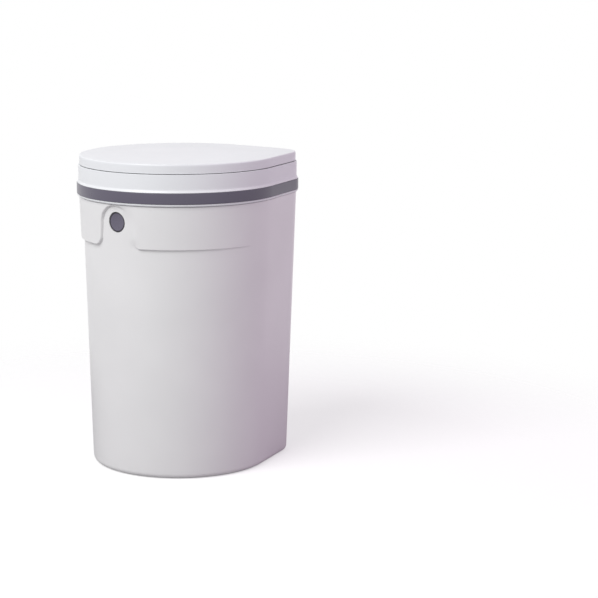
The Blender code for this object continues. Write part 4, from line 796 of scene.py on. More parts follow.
def ears(name, half, width, *form):
    """The two knuckles beside a barrel."""
    for side, word in ((-1, "left"), (1, "right")):
        near = HINGE_X + side * (half + BARREL_GAP)
        far = near + side * width
        yield knuckle(f"{name}_{word}", min(near, far), max(near, far), *form)


def tub_ears():
    axis = (HEAD_AXIS_Y, HEAD_AXIS_Z)
    low_z, high_z = RIM_Z - EAR_THICK, RIM_Z - SEAM_DROP - PARTING_GAP
    wall_y = FRONT_RADIUS - TUB_WALL
    return ears("tub_ear", HEAD_BARREL_HALF, TUB_EAR_WIDTH, axis, HEAD_BARREL_RADIUS, wall_y, low_z, high_z)


def head_knuckles():
    """The head's pad and barrel on the tub's hinge, and its ears for the lid's hinge."""
    left, right = HINGE_X - HEAD_BARREL_HALF, HINGE_X + HEAD_BARREL_HALF
    pad_low = (left - BARREL_GAP, FRONT_RADIUS - HEAD_WALL / 2, HEAD_BOTTOM_Z + PARTING_GAP)
    pad_high = (right + BARREL_GAP, FRONT_RADIUS + BAND_REACH, BAND_TOP_Z + FLARE_HEIGHT)
    yield box_piece("hinge_pad", pad_low, pad_high, SOFT_EDGE)
    axis = (HEAD_AXIS_Y, HEAD_AXIS_Z)
    low_z, high_z = HEAD_BOTTOM_Z + PARTING_GAP / 2, HEAD_AXIS_Z + HEAD_BARREL_RADIUS - KNUCKLE_EDGE
    yield knuckle("head_knuckle", left, right, axis, HEAD_BARREL_RADIUS, FRONT_RADIUS, low_z, high_z)
    axis = (LID_AXIS_Y, LID_AXIS_Z)
    low_z, high_z = COLLAR_TOP_Z - EAR_THICK, COLLAR_TOP_Z - KNUCKLE_EDGE
    form = (axis, LID_BARREL_RADIUS, FRONT_RADIUS, low_z, high_z)
    yield from ears("head_ear", LID_BARREL_HALF, HEAD_EAR_WIDTH, *form)


def lid_knuckle():
    left, right = HINGE_X - LID_BARREL_HALF, HINGE_X + LID_BARREL_HALF
    wall_y = FRONT_RADIUS + LID_REACH - LID_WALL / 2
    low_z, high_z = LID_BOTTOM_Z + RIM_EDGE / 2, LID_AXIS_Z + LID_BARREL_RADIUS - KNUCKLE_EDGE / 4
    return knuckle(
        "lid_knuckle", left, right, (LID_AXIS_Y, LID_AXIS_Z), LID_BARREL_RADIUS, wall_y, low_z, high_z
    )


# The button, the well, the refill and the seal

def button_cap():
    """The dished button, its flange behind the wall and its stem."""
    low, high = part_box("button_cap")
    front = low.y
    flange = front + FLANGE_DEPTH
    corners = [
        (0.0, front + BUTTON_DISH, 0.0),
        (BUTTON_RADIUS * BUTTON_SLOPE_SHARE, front + BUTTON_DISH * BUTTON_SLOPE_DISH_SHARE, BUTTON_DISH_EDGE),
        (BUTTON_RADIUS - BUTTON_EDGE * BUTTON_RIDGE_START_SHARE, front, BUTTON_RIDGE_EDGE),
        (BUTTON_RADIUS - BUTTON_EDGE * BUTTON_RIDGE_END_SHARE, front, CRISP_EDGE),
        (BUTTON_RADIUS, front + BUTTON_EDGE, BUTTON_EDGE),
        (BUTTON_RADIUS, flange, 0.0),
        (FLANGE_RADIUS, flange, FINE_EDGE),
        (FLANGE_RADIUS, flange + FLANGE_THICK, FINE_EDGE),
        (STEM_RADIUS, flange + FLANGE_THICK, SOFT_EDGE),
        (STEM_RADIUS, high.y, SMALL_EDGE),
        (0.0, high.y, 0.0),
    ]
    return turned("button_cap_fine", rounded(corners), axis="Y", middle=(BUTTON_X, 0.0, BUTTON_Z))


def foot_pad(index):
    """A rubber pad with a rounded edge and a shallow ring pressed into it."""
    low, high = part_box(f"foot_pad_{index}")
    radius, middle = (high.x - low.x) / 2, (low + high) / 2
    first, second, third, fourth = [radius * share for share in PAD_GROOVE_SHARES]
    corners = [
        (0.0, low.z, 0.0),
        (first, low.z, FINE_EDGE),
        (second, low.z + PAD_GROOVE, CRISP_EDGE),
        (third, low.z + PAD_GROOVE, CRISP_EDGE),
        (fourth, low.z, FINE_EDGE),
        (radius, low.z, PLAIN_EDGE),
        (radius, high.z, FINE_EDGE),
        (0.0, high.z, 0.0),
    ]
    line = rounded(corners, steps=3)
    return turned(f"foot_pad_{index}_fine", line, PAD_SEGMENTS, middle=(middle.x, middle.y, 0.0))


def cassette_well():
    """The round well with its flange and throat, all edges softened."""
    flange_z = DECK_Z + SEAT_GAP
    corners = [
        (WELL_FLANGE_RADIUS, FLANGE_TOP_Z, FULL_EDGE),
        (WELL_FLANGE_RADIUS, flange_z, THIN_EDGE),
        (WELL_OUTER, flange_z, THIN_EDGE),
        (WELL_OUTER, WELL_FLOOR_Z, WELL_HEEL_EDGE),
        (THROAT_OUTER, WELL_FLOOR_Z, THROAT_ROOT_EDGE),
        (THROAT_OUTER, THROAT_BOTTOM_Z, THIN_EDGE),
        (THROAT_RADIUS, THROAT_BOTTOM_Z, THIN_EDGE),
        (THROAT_RADIUS, THROAT_TOP_Z, WELL_BRIM_EDGE),
        (THROAT_OUTER, THROAT_TOP_Z, WELL_BRIM_EDGE),
        (THROAT_OUTER, WELL_SEAT_Z, WELL_SEAT_EDGE),
        (WELL_RADIUS, WELL_SEAT_Z, WELL_SEAT_EDGE),
        (WELL_RADIUS, FLANGE_TOP_Z, WELL_BRIM_EDGE),
    ]
    return turned("cassette_well_fine", rounded(corners), RING_SEGMENTS)


def boss(name, spot, radius, mouth_z, root_z, edge):
    """A boss round a screw's bore, with its mouth's edges softened."""
    bore = SCREW_SHANK + SEAT_GAP
    corners = [
        (bore, mouth_z, FINE_EDGE),
        (radius, mouth_z, edge),
        (radius, root_z, 0.0),
        (bore, root_z, 0.0),
    ]
    return turned(name, rounded(corners), SMALL_SEGMENTS, middle=spot)


def trap_boss(index):
    """A boss under the well that a trap screw goes into."""
    spot = way(TRAP_BOSS_TURNS[index]) * TRAP_BOSS_RING
    root_z = WELL_FLOOR_Z + SEAT_GAP
    return boss(f"trap_boss_{index + 1}", spot, TRAP_BOSS_RADIUS, THROAT_BOTTOM_Z, root_z, PLAIN_EDGE)


def liner_boss(index):
    """A boss under the lid's roof that a liner screw goes into."""
    spot = way(LINER_BOSS_TURNS[index]) * LINER_BOSS_RING
    mouth_z, root_z = LINER_TOP_Z + SEAT_GAP, HEIGHT - LID_CROWN - LID_WALL + SEAT_GAP
    return boss(f"liner_boss_{index + 1}", spot, LINER_BOSS_RADIUS, mouth_z, root_z, SMALL_EDGE)


def seal_ring(name, low_z, high_z, low_edge):
    corners = [
        (SEAL_RING + SEAL_HALF, high_z, 0.0),
        (SEAL_RING + SEAL_HALF, low_z, low_edge),
        (SEAL_RING - SEAL_HALF, low_z, low_edge),
        (SEAL_RING - SEAL_HALF, high_z, 0.0),
    ]
    return turned(name, rounded(corners), RING_SEGMENTS)


def refill_box():
    """The open card ring that holds the film."""
    floor = REFILL_BOTTOM_Z + CARD_THICK
    corners = [
        (REFILL_OUTER_RADIUS, REFILL_TOP_Z, FINE_EDGE),
        (REFILL_OUTER_RADIUS, REFILL_BOTTOM_Z, PLAIN_EDGE),
        (REFILL_INNER_RADIUS, REFILL_BOTTOM_Z, PLAIN_EDGE),
        (REFILL_INNER_RADIUS, REFILL_TOP_Z, FINE_EDGE),
        (CARD_INNER_RADIUS, REFILL_TOP_Z, FINE_EDGE),
        (CARD_INNER_RADIUS, floor, 0.0),
        (CARD_OUTER_RADIUS, floor, 0.0),
        (CARD_OUTER_RADIUS, REFILL_TOP_Z, FINE_EDGE),
    ]
    return turned("refill_box_fine", rounded(corners, steps=3), RING_SEGMENTS)


def film_slack(turn):
    """0 where a paper band holds the film, 1 midway between two bands."""
    free = abs(math.cos(PAPER_COUNT / 2 * turn))
    return ramp(free, FILM_HELD_SHARE, 1)


def waves(turn, parts):
    """Waves round the ring, each with a height, a count and a start."""
    return sum(height * math.sin(count * turn + start) for height, count, start in parts)


def film_lift(turn, share):
    """How far a fold or a crease of the film stands under the film's full form."""
    long_way = FILM_LINES * share + waves(turn, FILM_LONG_WAVES)
    slant_way = FILM_SLANT * FILM_LINES * share + waves(turn, FILM_SLANT_WAVES)
    crease_way = FILM_PLEATS * turn + waves(turn, FILM_CREASE_WAVES) + FILM_CREASE_LEAN * share
    long_fold = 0.5 - 0.5 * math.cos(math.tau * long_way)
    slant_fold = 0.5 - 0.5 * math.cos(math.tau * slant_way)
    crease = 0.5 + 0.5 * math.cos(crease_way)
    folds = FILM_FOLD * (FILM_LONG_SHARE * long_fold**3 + (1 - FILM_LONG_SHARE) * slant_fold**3)
    return folds + FILM_CREASE * crease**2 + FILM_PINCH * (1 - film_slack(turn))


def film_hem(turn, inner):
    """The film's inner edge: free of the bands it laps over the card and hangs a little way down."""
    slack = film_slack(turn)
    over = smooth(slack * FILM_OVER_RATE)
    down = smooth(slack * FILM_DOWN_RATE - (FILM_DOWN_RATE - 1))
    hang = FILM_HANG * (FILM_HANG_SHARE + waves(turn, FILM_HANG_WAVES))
    held = [(inner, rise) for rise in FILM_HELD_HEM]
    lapped = held[:1] + [(REFILL_INNER_RADIUS + reach, rise) for reach, rise in FILM_LAPPED_HEM]
    hung = held[:1]
    hung += [(REFILL_INNER_RADIUS + reach, rise - hang * low) for reach, rise, low in FILM_HUNG_HEM]
    line = []
    for first, second, third in zip(held, lapped, hung):
        first, second, third = Vector(first), Vector(second), Vector(third)
        radius, rise = first + (second - first) * over + (third - second) * down
        line.append((radius, REFILL_TOP_Z + rise))
    return line


def refill_film():
    """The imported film: it fills the card ring and swells over it in long uneven folds."""
    base, side_top = REFILL_BOTTOM_Z + CARD_THICK + SEAT_GAP, REFILL_TOP_Z - SEAT_GAP
    inner, outer = CARD_INNER_RADIUS + SEAT_GAP, CARD_OUTER_RADIUS - SEAT_GAP
    middle, half = (inner + outer) / 2, (outer - inner) / 2
    rings = []
    for turn in spaced(0.0, math.tau, FILM_COLUMNS)[:-1]:
        out = way(turn)
        section = [(inner, base), (inner, side_top)] + film_hem(turn, inner)
        for share in spaced(FILM_START_SHARE, 1, FILM_ROWS):
            lift = math.pi * (1 - share)
            drop = film_lift(turn, share) * math.sin(lift)
            reach = middle + (half - drop * FILM_SIDE_SHARE) * math.cos(lift)
            section.append((reach, REFILL_TOP_Z + (FILM_BULGE - drop) * math.sin(lift)))
        section += [(outer, side_top), (outer, base)]
        rings.append([out * radius + Vector((0, 0, z)) for radius, z in section])
    return skin("refill_film_fine", rings, joined=True)


def paper_band(index):
    """A paper band over the film, from the card's outer wall to its inner wall."""
    middle = (REFILL_INNER_RADIUS + REFILL_OUTER_RADIUS) / 2
    half = (REFILL_OUTER_RADIUS - REFILL_INNER_RADIUS) / 2
    turn = Matrix.Rotation(math.tau * (index + 0.5) / PAPER_COUNT, 3, "Z")
    rings = []
    for i in range(PAPER_COLUMNS + 1):
        across = PAPER_WIDTH * (i / PAPER_COLUMNS - 0.5)
        sag = PAPER_SAG * math.sin(PAPER_SAG_RATE * i + index)
        under, over = [], []
        for line, extra in ((under, SEAT_GAP), (over, SEAT_GAP + PAPER_THICK)):
            line.append((middle + half + extra, REFILL_TOP_Z - PAPER_DROP))
            for lift in spaced(0.0, math.pi, PAPER_ROWS):
                rise = FILM_BULGE + extra + sag * math.sin(lift)
                reach = middle + (half + extra) * math.cos(lift)
                line.append((reach, REFILL_TOP_Z + rise * math.sin(lift)))
            line.append((middle - half - extra, REFILL_TOP_Z - PAPER_INNER_DROP))
        section = over + under[::-1]
        rings.append([turn @ Vector((across, -math.sqrt(radius**2 - across**2), z)) for radius, z in section])
    return skin(f"refill_band_{index + 1}_fine", rings)


# Screws

def screw(node, direction):
    """A pan-head screw with a cross recess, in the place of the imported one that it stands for."""
    low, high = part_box(node)
    direction = Vector(direction)
    middle, half = (low + high) / 2, (high - low) / 2
    length = 2 * abs(half.dot(direction))
    radius = half.cross(direction).length / math.sqrt(2)
    face = radius * SCREW_FACE_SHARE
    corners = [
        (0.0, 0.0, 0.0),
        (face, SCREW_FACE_DIP, PLAIN_EDGE),
        (radius, SCREW_HEAD_HEIGHT * SCREW_DOME, FULL_EDGE),
        (radius, SCREW_HEAD_HEIGHT, CRISP_EDGE),
        (SCREW_SHANK, SCREW_HEAD_HEIGHT, FINE_EDGE),
        (SCREW_SHANK, length - SCREW_POINT, FINE_EDGE),
        (SCREW_SHANK * SCREW_POINT_SHARE, length, CRISP_EDGE),
        (0.0, length, 0.0),
    ]
    piece = turned(f"{node}_fine", rounded(corners, steps=3), SMALL_SEGMENTS)
    for turn in (0.0, math.pi / 2):
        bar_low = (-face, -SCREW_CROSS / 2, -SCREW_CROSS)
        bar_high = (face, SCREW_CROSS / 2, SCREW_CROSS_DEPTH)
        bar = box_piece("cross", bar_low, bar_high, SCREW_CROSS_EDGE, segments=1)
        bar.data.transform(Matrix.Rotation(turn + SCREW_CROSS_TURN, 4, "Z"))
        carve(piece, bar)
    lean = Vector((0, 0, 1)).rotation_difference(direction).to_matrix().to_4x4()
    piece.data.transform(Matrix.Translation(middle - direction * length / 2) @ lean)
    return piece


# Materials

# The span of 0 to 1 that a noise mostly fills
NOISE_LOW = 0.3
NOISE_HIGH = 0.7

BEVEL_SAMPLES = 6
WHITE_COLOUR = (0.832, 0.832, 0.835)
HEAD_COLOUR = (0.822, 0.838, 0.860)
INNER_COLOUR = (0.78, 0.78, 0.79)
GREY_COLOUR = (0.114, 0.104, 0.145)
LATCH_COLOUR = (0.09, 0.09, 0.10)
RUBBER_COLOUR = (0.30, 0.30, 0.32)
STEEL_COLOUR = (0.62, 0.62, 0.64)
STEEL_EDGE = 0.0001
# Painted shade on the button: where its dark rim ring starts and ends, as shares of the radius; then the
# speckle's dark and light tones and the rim's painted shade, as shares of the grey
BUTTON_SHADE_RING_SHARES = (0.82, 0.88)
BUTTON_TONE_AND_SHADE_SHARES = (0.82, 1.30, 0.22)
CARD_COLOURS = ((0.62, 0.61, 0.66), (0.58, 0.57, 0.61))
# The card's brim: raw brown board, darkened to stand also for painted shade where the film meets the card;
# its colour and the band's half-height
RAW_AND_SHADE_COLOUR = (0.22, 0.16, 0.11)
RAW_AND_SHADE_BAND = 0.0006
PAPER_COLOURS = ((0.90, 0.895, 0.88), (0.85, 0.845, 0.83))
MARK_COLOUR = (0.55, 0.05, 0.06)
MARK_SHIFT = 0.002
MARK_RING = (REFILL_OUTER_RADIUS + REFILL_INNER_RADIUS) / 2 + MARK_SHIFT
MARK_HALF_WIDTH = 0.0065
MARK_HALF_HEIGHT = 0.0022
MARK_BLUR = 0.0002
FILM_COLOUR = (0.88, 0.88, 0.885)
FILM_GLOW = 0.15
FILM_GLOW_REACH = 0.002
FILM_CLOUD_SHARE = 0.96


def rgba(colour):
    return (*colour, 1.0)


def scaled(parts, share):
    return [part * share for part in parts]


def new_material(name, colour, roughness, metallic=0.0):
    """A node material, its tree and its shader."""
    material = bpy.data.materials.new(name)
    material.use_nodes = True
    material.diffuse_color = rgba(colour)
    tree = material.node_tree
    shader = tree.nodes["Principled BSDF"]
    shader.inputs["Base Color"].default_value = rgba(colour)
    shader.inputs["Roughness"].default_value = roughness
    shader.inputs["Metallic"].default_value = metallic
    return material, tree, shader


def add_node(tree, kind, inputs, **settings):
    """The outputs of a new node; an input takes a number, a colour or another node's output."""
    node = tree.nodes.new(kind)
    for name, value in settings.items():
        setattr(node, name, value)
    for socket, value in inputs.items():
        if isinstance(value, bpy.types.NodeSocket):
            tree.links.new(value, node.inputs[socket])
        else:
            node.inputs[socket].default_value = value
    return node.outputs


def object_place(tree):
    return add_node(tree, "ShaderNodeTexCoord", {})["Object"]


def join(tree, operation, first, second=0.0):
    """A math node over two values, each an output or a number."""
    return add_node(tree, "ShaderNodeMath", {0: first, 1: second}, operation=operation)["Value"]


def blend(tree, factor, first, second):
    """A colour between two others."""
    inputs = {"Factor": factor, "A": first, "B": second}
    return add_node(tree, "ShaderNodeMix", inputs, data_type="RGBA")["Result"]


def soft_step(tree, value, start, end):
    """0 before the start and 1 past the end, with a smooth way between them."""
    inputs = {"Value": value, "From Min": start, "From Max": end}
    return add_node(tree, "ShaderNodeMapRange", inputs, interpolation_type="SMOOTHSTEP")["Result"]


def pattern(tree, scale, detail=2.0, stretch=(1.0, 1.0, 1.0)):
    """A noise that goes with the piece; its size doesn't depend on the piece's."""
    spread = add_node(tree, "ShaderNodeMapping", {"Vector": object_place(tree), "Scale": stretch})["Vector"]
    return add_node(tree, "ShaderNodeTexNoise", {"Vector": spread, "Scale": scale, "Detail": detail})["Fac"]


def spread_between(tree, factor, low=0.0, high=1.0):
    """A noise stretched to run between two numbers."""
    inputs = {"Value": factor, "From Min": NOISE_LOW, "From Max": NOISE_HIGH, "To Min": low, "To Max": high}
    return add_node(tree, "ShaderNodeMapRange", inputs)["Result"]


def tint(tree, shader, factor, first, second):
    tree.links.new(blend(tree, factor, first, second), shader.inputs["Base Color"])


def wear(tree, shader, factor, roughness, low, high):
    """A roughness that a noise varies between two shares of its own value."""
    uneven = spread_between(tree, factor, roughness * low, roughness * high)
    tree.links.new(uneven, shader.inputs["Roughness"])


def rough_skin(tree, shader, height, strength, depth, edge=0.0):
    """A bump for the surface, over edges that a bevel node softens."""
    inputs = {"Height": height, "Strength": strength, "Distance": depth}
    if edge:
        bevel = add_node(tree, "ShaderNodeBevel", {"Radius": edge}, samples=BEVEL_SAMPLES)
        inputs["Normal"] = bevel["Normal"]
    tree.links.new(add_node(tree, "ShaderNodeBump", inputs)["Normal"], shader.inputs["Normal"])


def plastic(name, colour, roughness, grain=900.0, strength=0.25, vary=0.02, edge=0.0):
    """Moulded plastic: a fine grain, a faint unevenness of tone and a roughness that varies a little."""
    material, tree, shader = new_material(name, colour, roughness)
    slow = spread_between(tree, pattern(tree, scale=9.0))
    tint(tree, shader, slow, rgba(scaled(colour, 1 + vary)), rgba(scaled(colour, 1 - vary)))
    wear(tree, shader, pattern(tree, scale=60.0, detail=3.0), roughness, low=0.9, high=1.1)
    rough_skin(tree, shader, pattern(tree, grain, detail=3.0), strength, depth=0.00003, edge=edge)
    return material


def button_plastic(name):
    """The button: a speckled face, with a ring of painted shade round its rim for the shade in the gap round
    the button.
    """
    material, tree, shader = new_material(name, GREY_COLOUR, roughness=0.45)
    inputs = {0: object_place(tree), 1: (1.0, 0.0, 1.0)}
    flat = add_node(tree, "ShaderNodeVectorMath", inputs, operation="MULTIPLY")["Vector"]
    inputs = {0: flat, 1: (BUTTON_X, 0.0, BUTTON_Z)}
    out = add_node(tree, "ShaderNodeVectorMath", inputs, operation="DISTANCE")["Value"]
    # painted shade: a dark ring round the rim stands for the shade in the gap between the button and its hole
    ring = soft_step(tree, out, *scaled(BUTTON_SHADE_RING_SHARES, BUTTON_RADIUS))
    speckle = pattern(tree, scale=1400.0)
    dark, light, rim = [rgba(scaled(GREY_COLOUR, share)) for share in BUTTON_TONE_AND_SHADE_SHARES]
    tint(tree, shader, ring, blend(tree, spread_between(tree, speckle), dark, light), rim)
    rough_skin(tree, shader, speckle, strength=0.6, depth=0.00008)
    return material


def metal(name, colour, roughness, edge):
    """Metal, brushed along Z."""
    material, tree, shader = new_material(name, colour, roughness, metallic=1.0)
    brushed = pattern(tree, scale=700.0, detail=3.0, stretch=(1.0, 1.0, 0.15))
    wear(tree, shader, brushed, roughness, low=0.8, high=1.25)
    rough_skin(tree, shader, brushed, strength=0.15, depth=0.00002, edge=edge)
    return material


def place_parts(tree):
    """The object coordinates, one by one."""
    return add_node(tree, "ShaderNodeSeparateXYZ", {"Vector": object_place(tree)})


def within(tree, value, half, blur):
    """1 where a value is less than half away from 0, with a blurred edge."""
    inputs = {"Value": join(tree, "ABSOLUTE", value), "From Min": half + blur, "From Max": half - blur}
    return add_node(tree, "ShaderNodeMapRange", inputs)["Result"]


def overlay(tree, shader, factor, colour):
    """A second colour over the one that the shader has."""
    before = shader.inputs["Base Color"].links[0].from_socket
    tint(tree, shader, factor, before, rgba(colour))


def fibre(name, colours, roughness, scale, stretch):
    """Card or paper with short fibres that lie one way: the material, its tree and its shader."""
    material, tree, shader = new_material(name, colours[0], roughness)
    fibres = pattern(tree, scale, detail=5.0, stretch=stretch)
    tint(tree, shader, spread_between(tree, fibres), *map(rgba, colours))
    rough_skin(tree, shader, fibres, strength=0.3, depth=0.00006)
    return material, tree, shader


def card(name):
    """Pale printed board with a raw brown edge along its brim, painted dark enough to stand also for the
    shade in the gap where the film meets the card.
    """
    material, tree, shader = fibre(name, CARD_COLOURS, roughness=0.7, scale=300.0, stretch=(1.0, 1.0, 0.2))
    # raw edge and painted shade: a dark brown band round the brim's height
    above = join(tree, "SUBTRACT", place_parts(tree)["Z"], REFILL_TOP_Z)
    overlay(tree, shader, within(tree, above, RAW_AND_SHADE_BAND, RAW_AND_SHADE_BAND / 3), RAW_AND_SHADE_COLOUR)
    return material


def paper(name):
    """White paper with a plain red bar printed across the top of each band."""
    material, tree, shader = fibre(name, PAPER_COLOURS, roughness=0.8, scale=500.0, stretch=(1.0, 1.0, 0.3))
    parts = place_parts(tree)
    side, front = join(tree, "ABSOLUTE", parts["X"]), join(tree, "ABSOLUTE", parts["Y"])
    across = join(tree, "MULTIPLY", join(tree, "SUBTRACT", side, front), math.sqrt(0.5))
    out = join(tree, "MULTIPLY", join(tree, "ADD", side, front), math.sqrt(0.5))
    beyond = join(tree, "SUBTRACT", out, MARK_RING)
    long_way = within(tree, across, MARK_HALF_WIDTH, MARK_BLUR)
    short_way = within(tree, beyond, MARK_HALF_HEIGHT, MARK_BLUR)
    overlay(tree, shader, join(tree, "MULTIPLY", long_way, short_way), MARK_COLOUR)
    return material


def film(name, colour):
    """Thin packed film: soft gloss with fine creases across the pleats."""
    material, tree, shader = new_material(name, colour, roughness=0.35)
    shader.inputs["Subsurface Weight"].default_value = FILM_GLOW
    shader.inputs["Subsurface Radius"].default_value = (FILM_GLOW_REACH, FILM_GLOW_REACH, FILM_GLOW_REACH)
    cloudy = spread_between(tree, pattern(tree, scale=80.0, detail=4.0))
    tint(tree, shader, cloudy, rgba(colour), rgba(scaled(colour, FILM_CLOUD_SHARE)))
    creases = pattern(tree, scale=420.0, detail=6.0, stretch=(1.0, 1.0, 0.4))
    rough_skin(tree, shader, creases, strength=0.35, depth=0.0002)
    return material


WHITE = plastic("white_shell", WHITE_COLOUR, roughness=0.36, edge=FINE_EDGE)
HEAD_WHITE = plastic("head_white", HEAD_COLOUR, roughness=0.36, edge=FINE_EDGE)
INNER = plastic("inner_white", INNER_COLOUR, roughness=0.42, edge=THIN_EDGE)
GREY = plastic("grey_trim", GREY_COLOUR, roughness=0.30, vary=0.04)
BUTTON = button_plastic("speckled_button_rim_shade")
LATCH = plastic("dark_latch", LATCH_COLOUR, roughness=0.45, edge=THIN_EDGE)
RUBBER = plastic("soft_rubber", RUBBER_COLOUR, roughness=0.75, grain=600.0, strength=0.4, edge=FINE_EDGE)
STEEL = metal("steel", STEEL_COLOUR, roughness=0.3, edge=STEEL_EDGE)
CARD = card("card")
FILM = film("packed_film", FILM_COLOUR)
PAPER = paper("paper")


# Placing the pieces

def place(piece, body, material, slot_name, *nodes):
    piece.data.materials.clear()
    piece.data.materials.append(material)
    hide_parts(*nodes)
    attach(piece, body)


def place_screw(node, body, direction):
    place(screw(node, direction), body, STEEL, "steel", node)


def build_pieces():
    place(tub_shell(), "tub", WHITE, "white_shell", "tub_body")
    for ear in tub_ears():
        place(ear, "tub", WHITE, "white_shell", "tub_body")
    place(head_shell(), "head", HEAD_WHITE, "white_shell", "head_shell")
    for part in head_knuckles():
        place(part, "head", HEAD_WHITE, "white_shell", "head_shell")
    place(trim_band(), "head", GREY, "grey_trim", "trim_band")
    place(lid_cover(), "lid", HEAD_WHITE, "white_shell", "lid_cover")
    place(lid_knuckle(), "lid", HEAD_WHITE, "white_shell", "lid_cover")
    place(lid_liner(), "lid", INNER, "inner_white", "lid_liner")
    plug_top = (LINER_BOTTOM_Z + LINER_TOP_Z) / 2
    plug = seal_ring("plug_ring", SEAL_TOP_Z + SEAT_GAP, plug_top, FINE_EDGE)
    place(plug, "lid", INNER, "inner_white", "lid_liner")
    seal = seal_ring("lid_seal_fine", SEAL_BOTTOM_Z, SEAL_TOP_Z, SEAL_HEIGHT / 2)
    place(seal, "lid", RUBBER, "soft_rubber", "lid_seal")
    place(button_cap(), "button", BUTTON, "grey_trim", "button_cap")
    place(cassette_well(), "head", INNER, "inner_white", "cassette_well")
    for i in range(len(TRAP_BOSS_TURNS)):
        place(trap_boss(i), "head", INNER, "inner_white", "cassette_well")
        place(foot_pad(i + 1), "tub", RUBBER, "soft_rubber", f"foot_pad_{i + 1}")
        place(paper_band(i), "head", PAPER, "paper", f"refill_band_{i + 1}")
        place_screw(f"trap_screw_{i + 1}", "head", (0, 0, 1))
    for i in range(len(LINER_BOSS_TURNS)):
        place(liner_boss(i), "lid", HEAD_WHITE, "white_shell", "lid_cover")
        place_screw(f"liner_screw_{i + 1}", "lid", (0, 0, 1))
        place_screw(f"flange_screw_{i + 1}", "head", (0, 0, -1))
    for word in ("left", "right"):
        place_screw(f"housing_screw_{word}", "tub", (0, -1, 0))
        place_screw(f"keeper_screw_{word}", "head", (0, 0, -1))
        place_screw(f"cutter_screw_{word}", "head", (0, 0, -1))
    place(refill_box(), "head", CARD, "card", "refill_box")
    place(refill_film(), "head", FILM, "packed_film", "refill_film")


def finish_kept_solids():
    """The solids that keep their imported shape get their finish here."""
    kept = {
        LATCH: ("latch_housing", "latch_slider", "latch_keeper"),
        GREY: ("cutter_guard",),
        INNER: ("trap_frame", "trap_jaw_left", "trap_jaw_right"),
        RUBBER: ("jaw_lip_left", "jaw_lip_right"),
        STEEL: (
            "button_spring", "jaw_spring_left", "jaw_spring_right", "trap_pin_left", "trap_pin_right",
            "head_hinge_pin", "lid_hinge_pin", "cutter_blade",
        ),
    }
    for material, nodes in kept.items():
        for node in nodes:
            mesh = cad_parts[node].data
            mesh.materials.clear()
            mesh.materials.append(material)


# The room

CAMERA_PLACE = (1.7738, -2.1325, 0.7648)
CAMERA_TURN = (math.radians(79.289), math.radians(-0.13), math.radians(36.13))
CAMERA_LENS = 113.54
SENSOR_WIDTH = 36.0
FLOOR_SIZE = 8.0
FLOOR_SEEN = (0.60, 0.60, 0.60)
FLOOR_BOUNCE = (0.47, 0.46, 0.47)
FLOOR_ROUGHNESS = 0.9
FLOOR_SPECULAR = 0.1
FLOOR_LIFT = 0.5
FLOOR_FADE = (0.45, 0.95)
KEY_WAY = Vector((-0.07, -0.985, 1.0))
KEY_DISTANCE = 3.2
KEY_SIZE = 2.0
KEY_POWER = 70.5
KEY_COLOUR = (1.0, 1.0, 1.0)
FILL_WAY = Vector((0.85, 0.52, 0.35))
FILL_DISTANCE = 2.5
FILL_SIZE = 1.5
FILL_POWER = 7.0
FILL_COLOUR = (1.0, 0.3, 0.95)
ROOM_SEEN = (1.0, 1.0, 1.0)
ROOM_COLOUR = (0.99, 0.975, 1.0)
ROOM_STRENGTH = 0.44


def set_camera():
    camera = add_object("camera", bpy.data.cameras.new("camera"))
    camera.location = CAMERA_PLACE
    camera.rotation_euler = CAMERA_TURN
    camera.data.sensor_width = SENSOR_WIDTH
    camera.data.lens = CAMERA_LENS
    bpy.context.scene.camera = camera


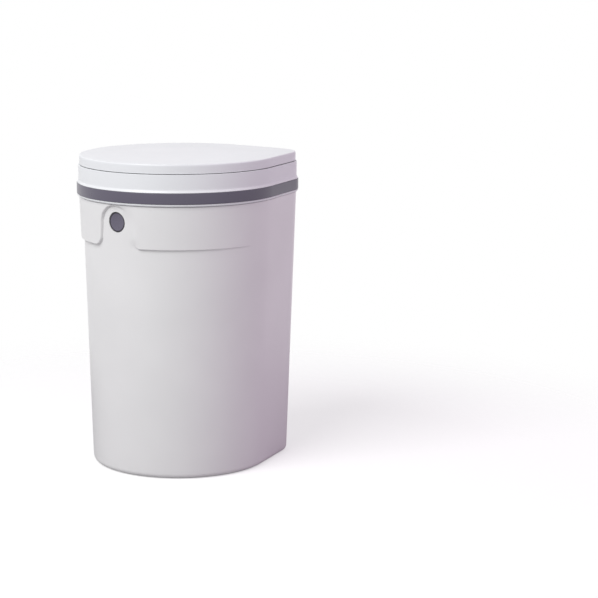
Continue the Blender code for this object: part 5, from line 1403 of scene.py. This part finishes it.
def set_floor():
    """A pale floor that keeps the shadow and fades into the white room further out."""
    half = FLOOR_SIZE / 2
    corners = [(-half, -half, 0), (half, -half, 0), (half, half, 0), (-half, half, 0)]
    mesh = bpy.data.meshes.new("floor")
    mesh.from_pydata(corners, [], [(0, 1, 2, 3)])
    floor = add_object("floor", mesh)
    material, tree, shader = new_material("floor", FLOOR_SEEN, FLOOR_ROUGHNESS)
    shader.inputs["Specular IOR Level"].default_value = FLOOR_SPECULAR
    seen = add_node(tree, "ShaderNodeLightPath", {})["Is Camera Ray"]
    tint(tree, shader, seen, rgba(FLOOR_BOUNCE), rgba(FLOOR_SEEN))
    out = add_node(tree, "ShaderNodeVectorMath", {0: object_place(tree)}, operation="LENGTH")["Value"]
    fade = soft_step(tree, out, *FLOOR_FADE)
    lift_strength = join(tree, "MULTIPLY", seen, FLOOR_LIFT)
    lift = add_node(tree, "ShaderNodeEmission", {"Strength": lift_strength})["Emission"]
    lifted = add_node(tree, "ShaderNodeAddShader", {0: shader.outputs["BSDF"], 1: lift})["Shader"]
    clear = add_node(tree, "ShaderNodeBsdfTransparent", {})["BSDF"]
    mix = add_node(tree, "ShaderNodeMixShader", {"Fac": fade, 1: lifted, 2: clear})["Shader"]
    tree.links.new(mix, tree.nodes["Material Output"].inputs["Surface"])
    mesh.materials.append(material)


def add_lamp(name, direction, distance, size, power, colour):
    """A soft square lamp that faces the middle of the bin."""
    lamp = add_object(name, bpy.data.lights.new(name, "AREA"))
    lamp.data.size = size
    lamp.data.energy = power
    lamp.data.color = colour
    middle = Vector((0.0, 0.0, HEIGHT / 2))
    lamp.location = middle + direction.normalized() * distance
    lamp.rotation_euler = (middle - lamp.location).to_track_quat("-Z", "Y").to_euler()
    return lamp


def set_light():
    """A neutral key, and a faint tinted fill whose tint no glossy edge mirrors."""
    add_lamp("key", KEY_WAY, KEY_DISTANCE, KEY_SIZE, KEY_POWER, KEY_COLOUR)
    fill = add_lamp("fill", FILL_WAY, FILL_DISTANCE, FILL_SIZE, FILL_POWER, FILL_COLOUR)
    fill.visible_glossy = False


def set_room():
    """An even pale room that lights softly, and that the camera sees as white."""
    world = bpy.data.worlds.new("room")
    bpy.context.scene.world = world
    world.use_nodes = True
    tree = world.node_tree
    tree.nodes.clear()
    soft, white = [
        add_node(tree, "ShaderNodeBackground", {"Color": rgba(colour), "Strength": strength})["Background"]
        for colour, strength in ((ROOM_COLOUR, ROOM_STRENGTH), (ROOM_SEEN, 1.0))
    ]
    seen = add_node(tree, "ShaderNodeLightPath", {})
    mirrored = join(tree, "MAXIMUM", seen["Is Glossy Ray"], seen["Is Transmission Ray"])
    either = join(tree, "MAXIMUM", mirrored, seen["Is Camera Ray"])
    mix = add_node(tree, "ShaderNodeMixShader", {"Fac": either, 1: soft, 2: white})["Shader"]
    add_node(tree, "ShaderNodeOutputWorld", {"Surface": mix})


build_pieces()
finish_kept_solids()
set_camera()
set_floor()
set_light()
set_room()
bpy.context.scene.view_settings.view_transform = "Standard"
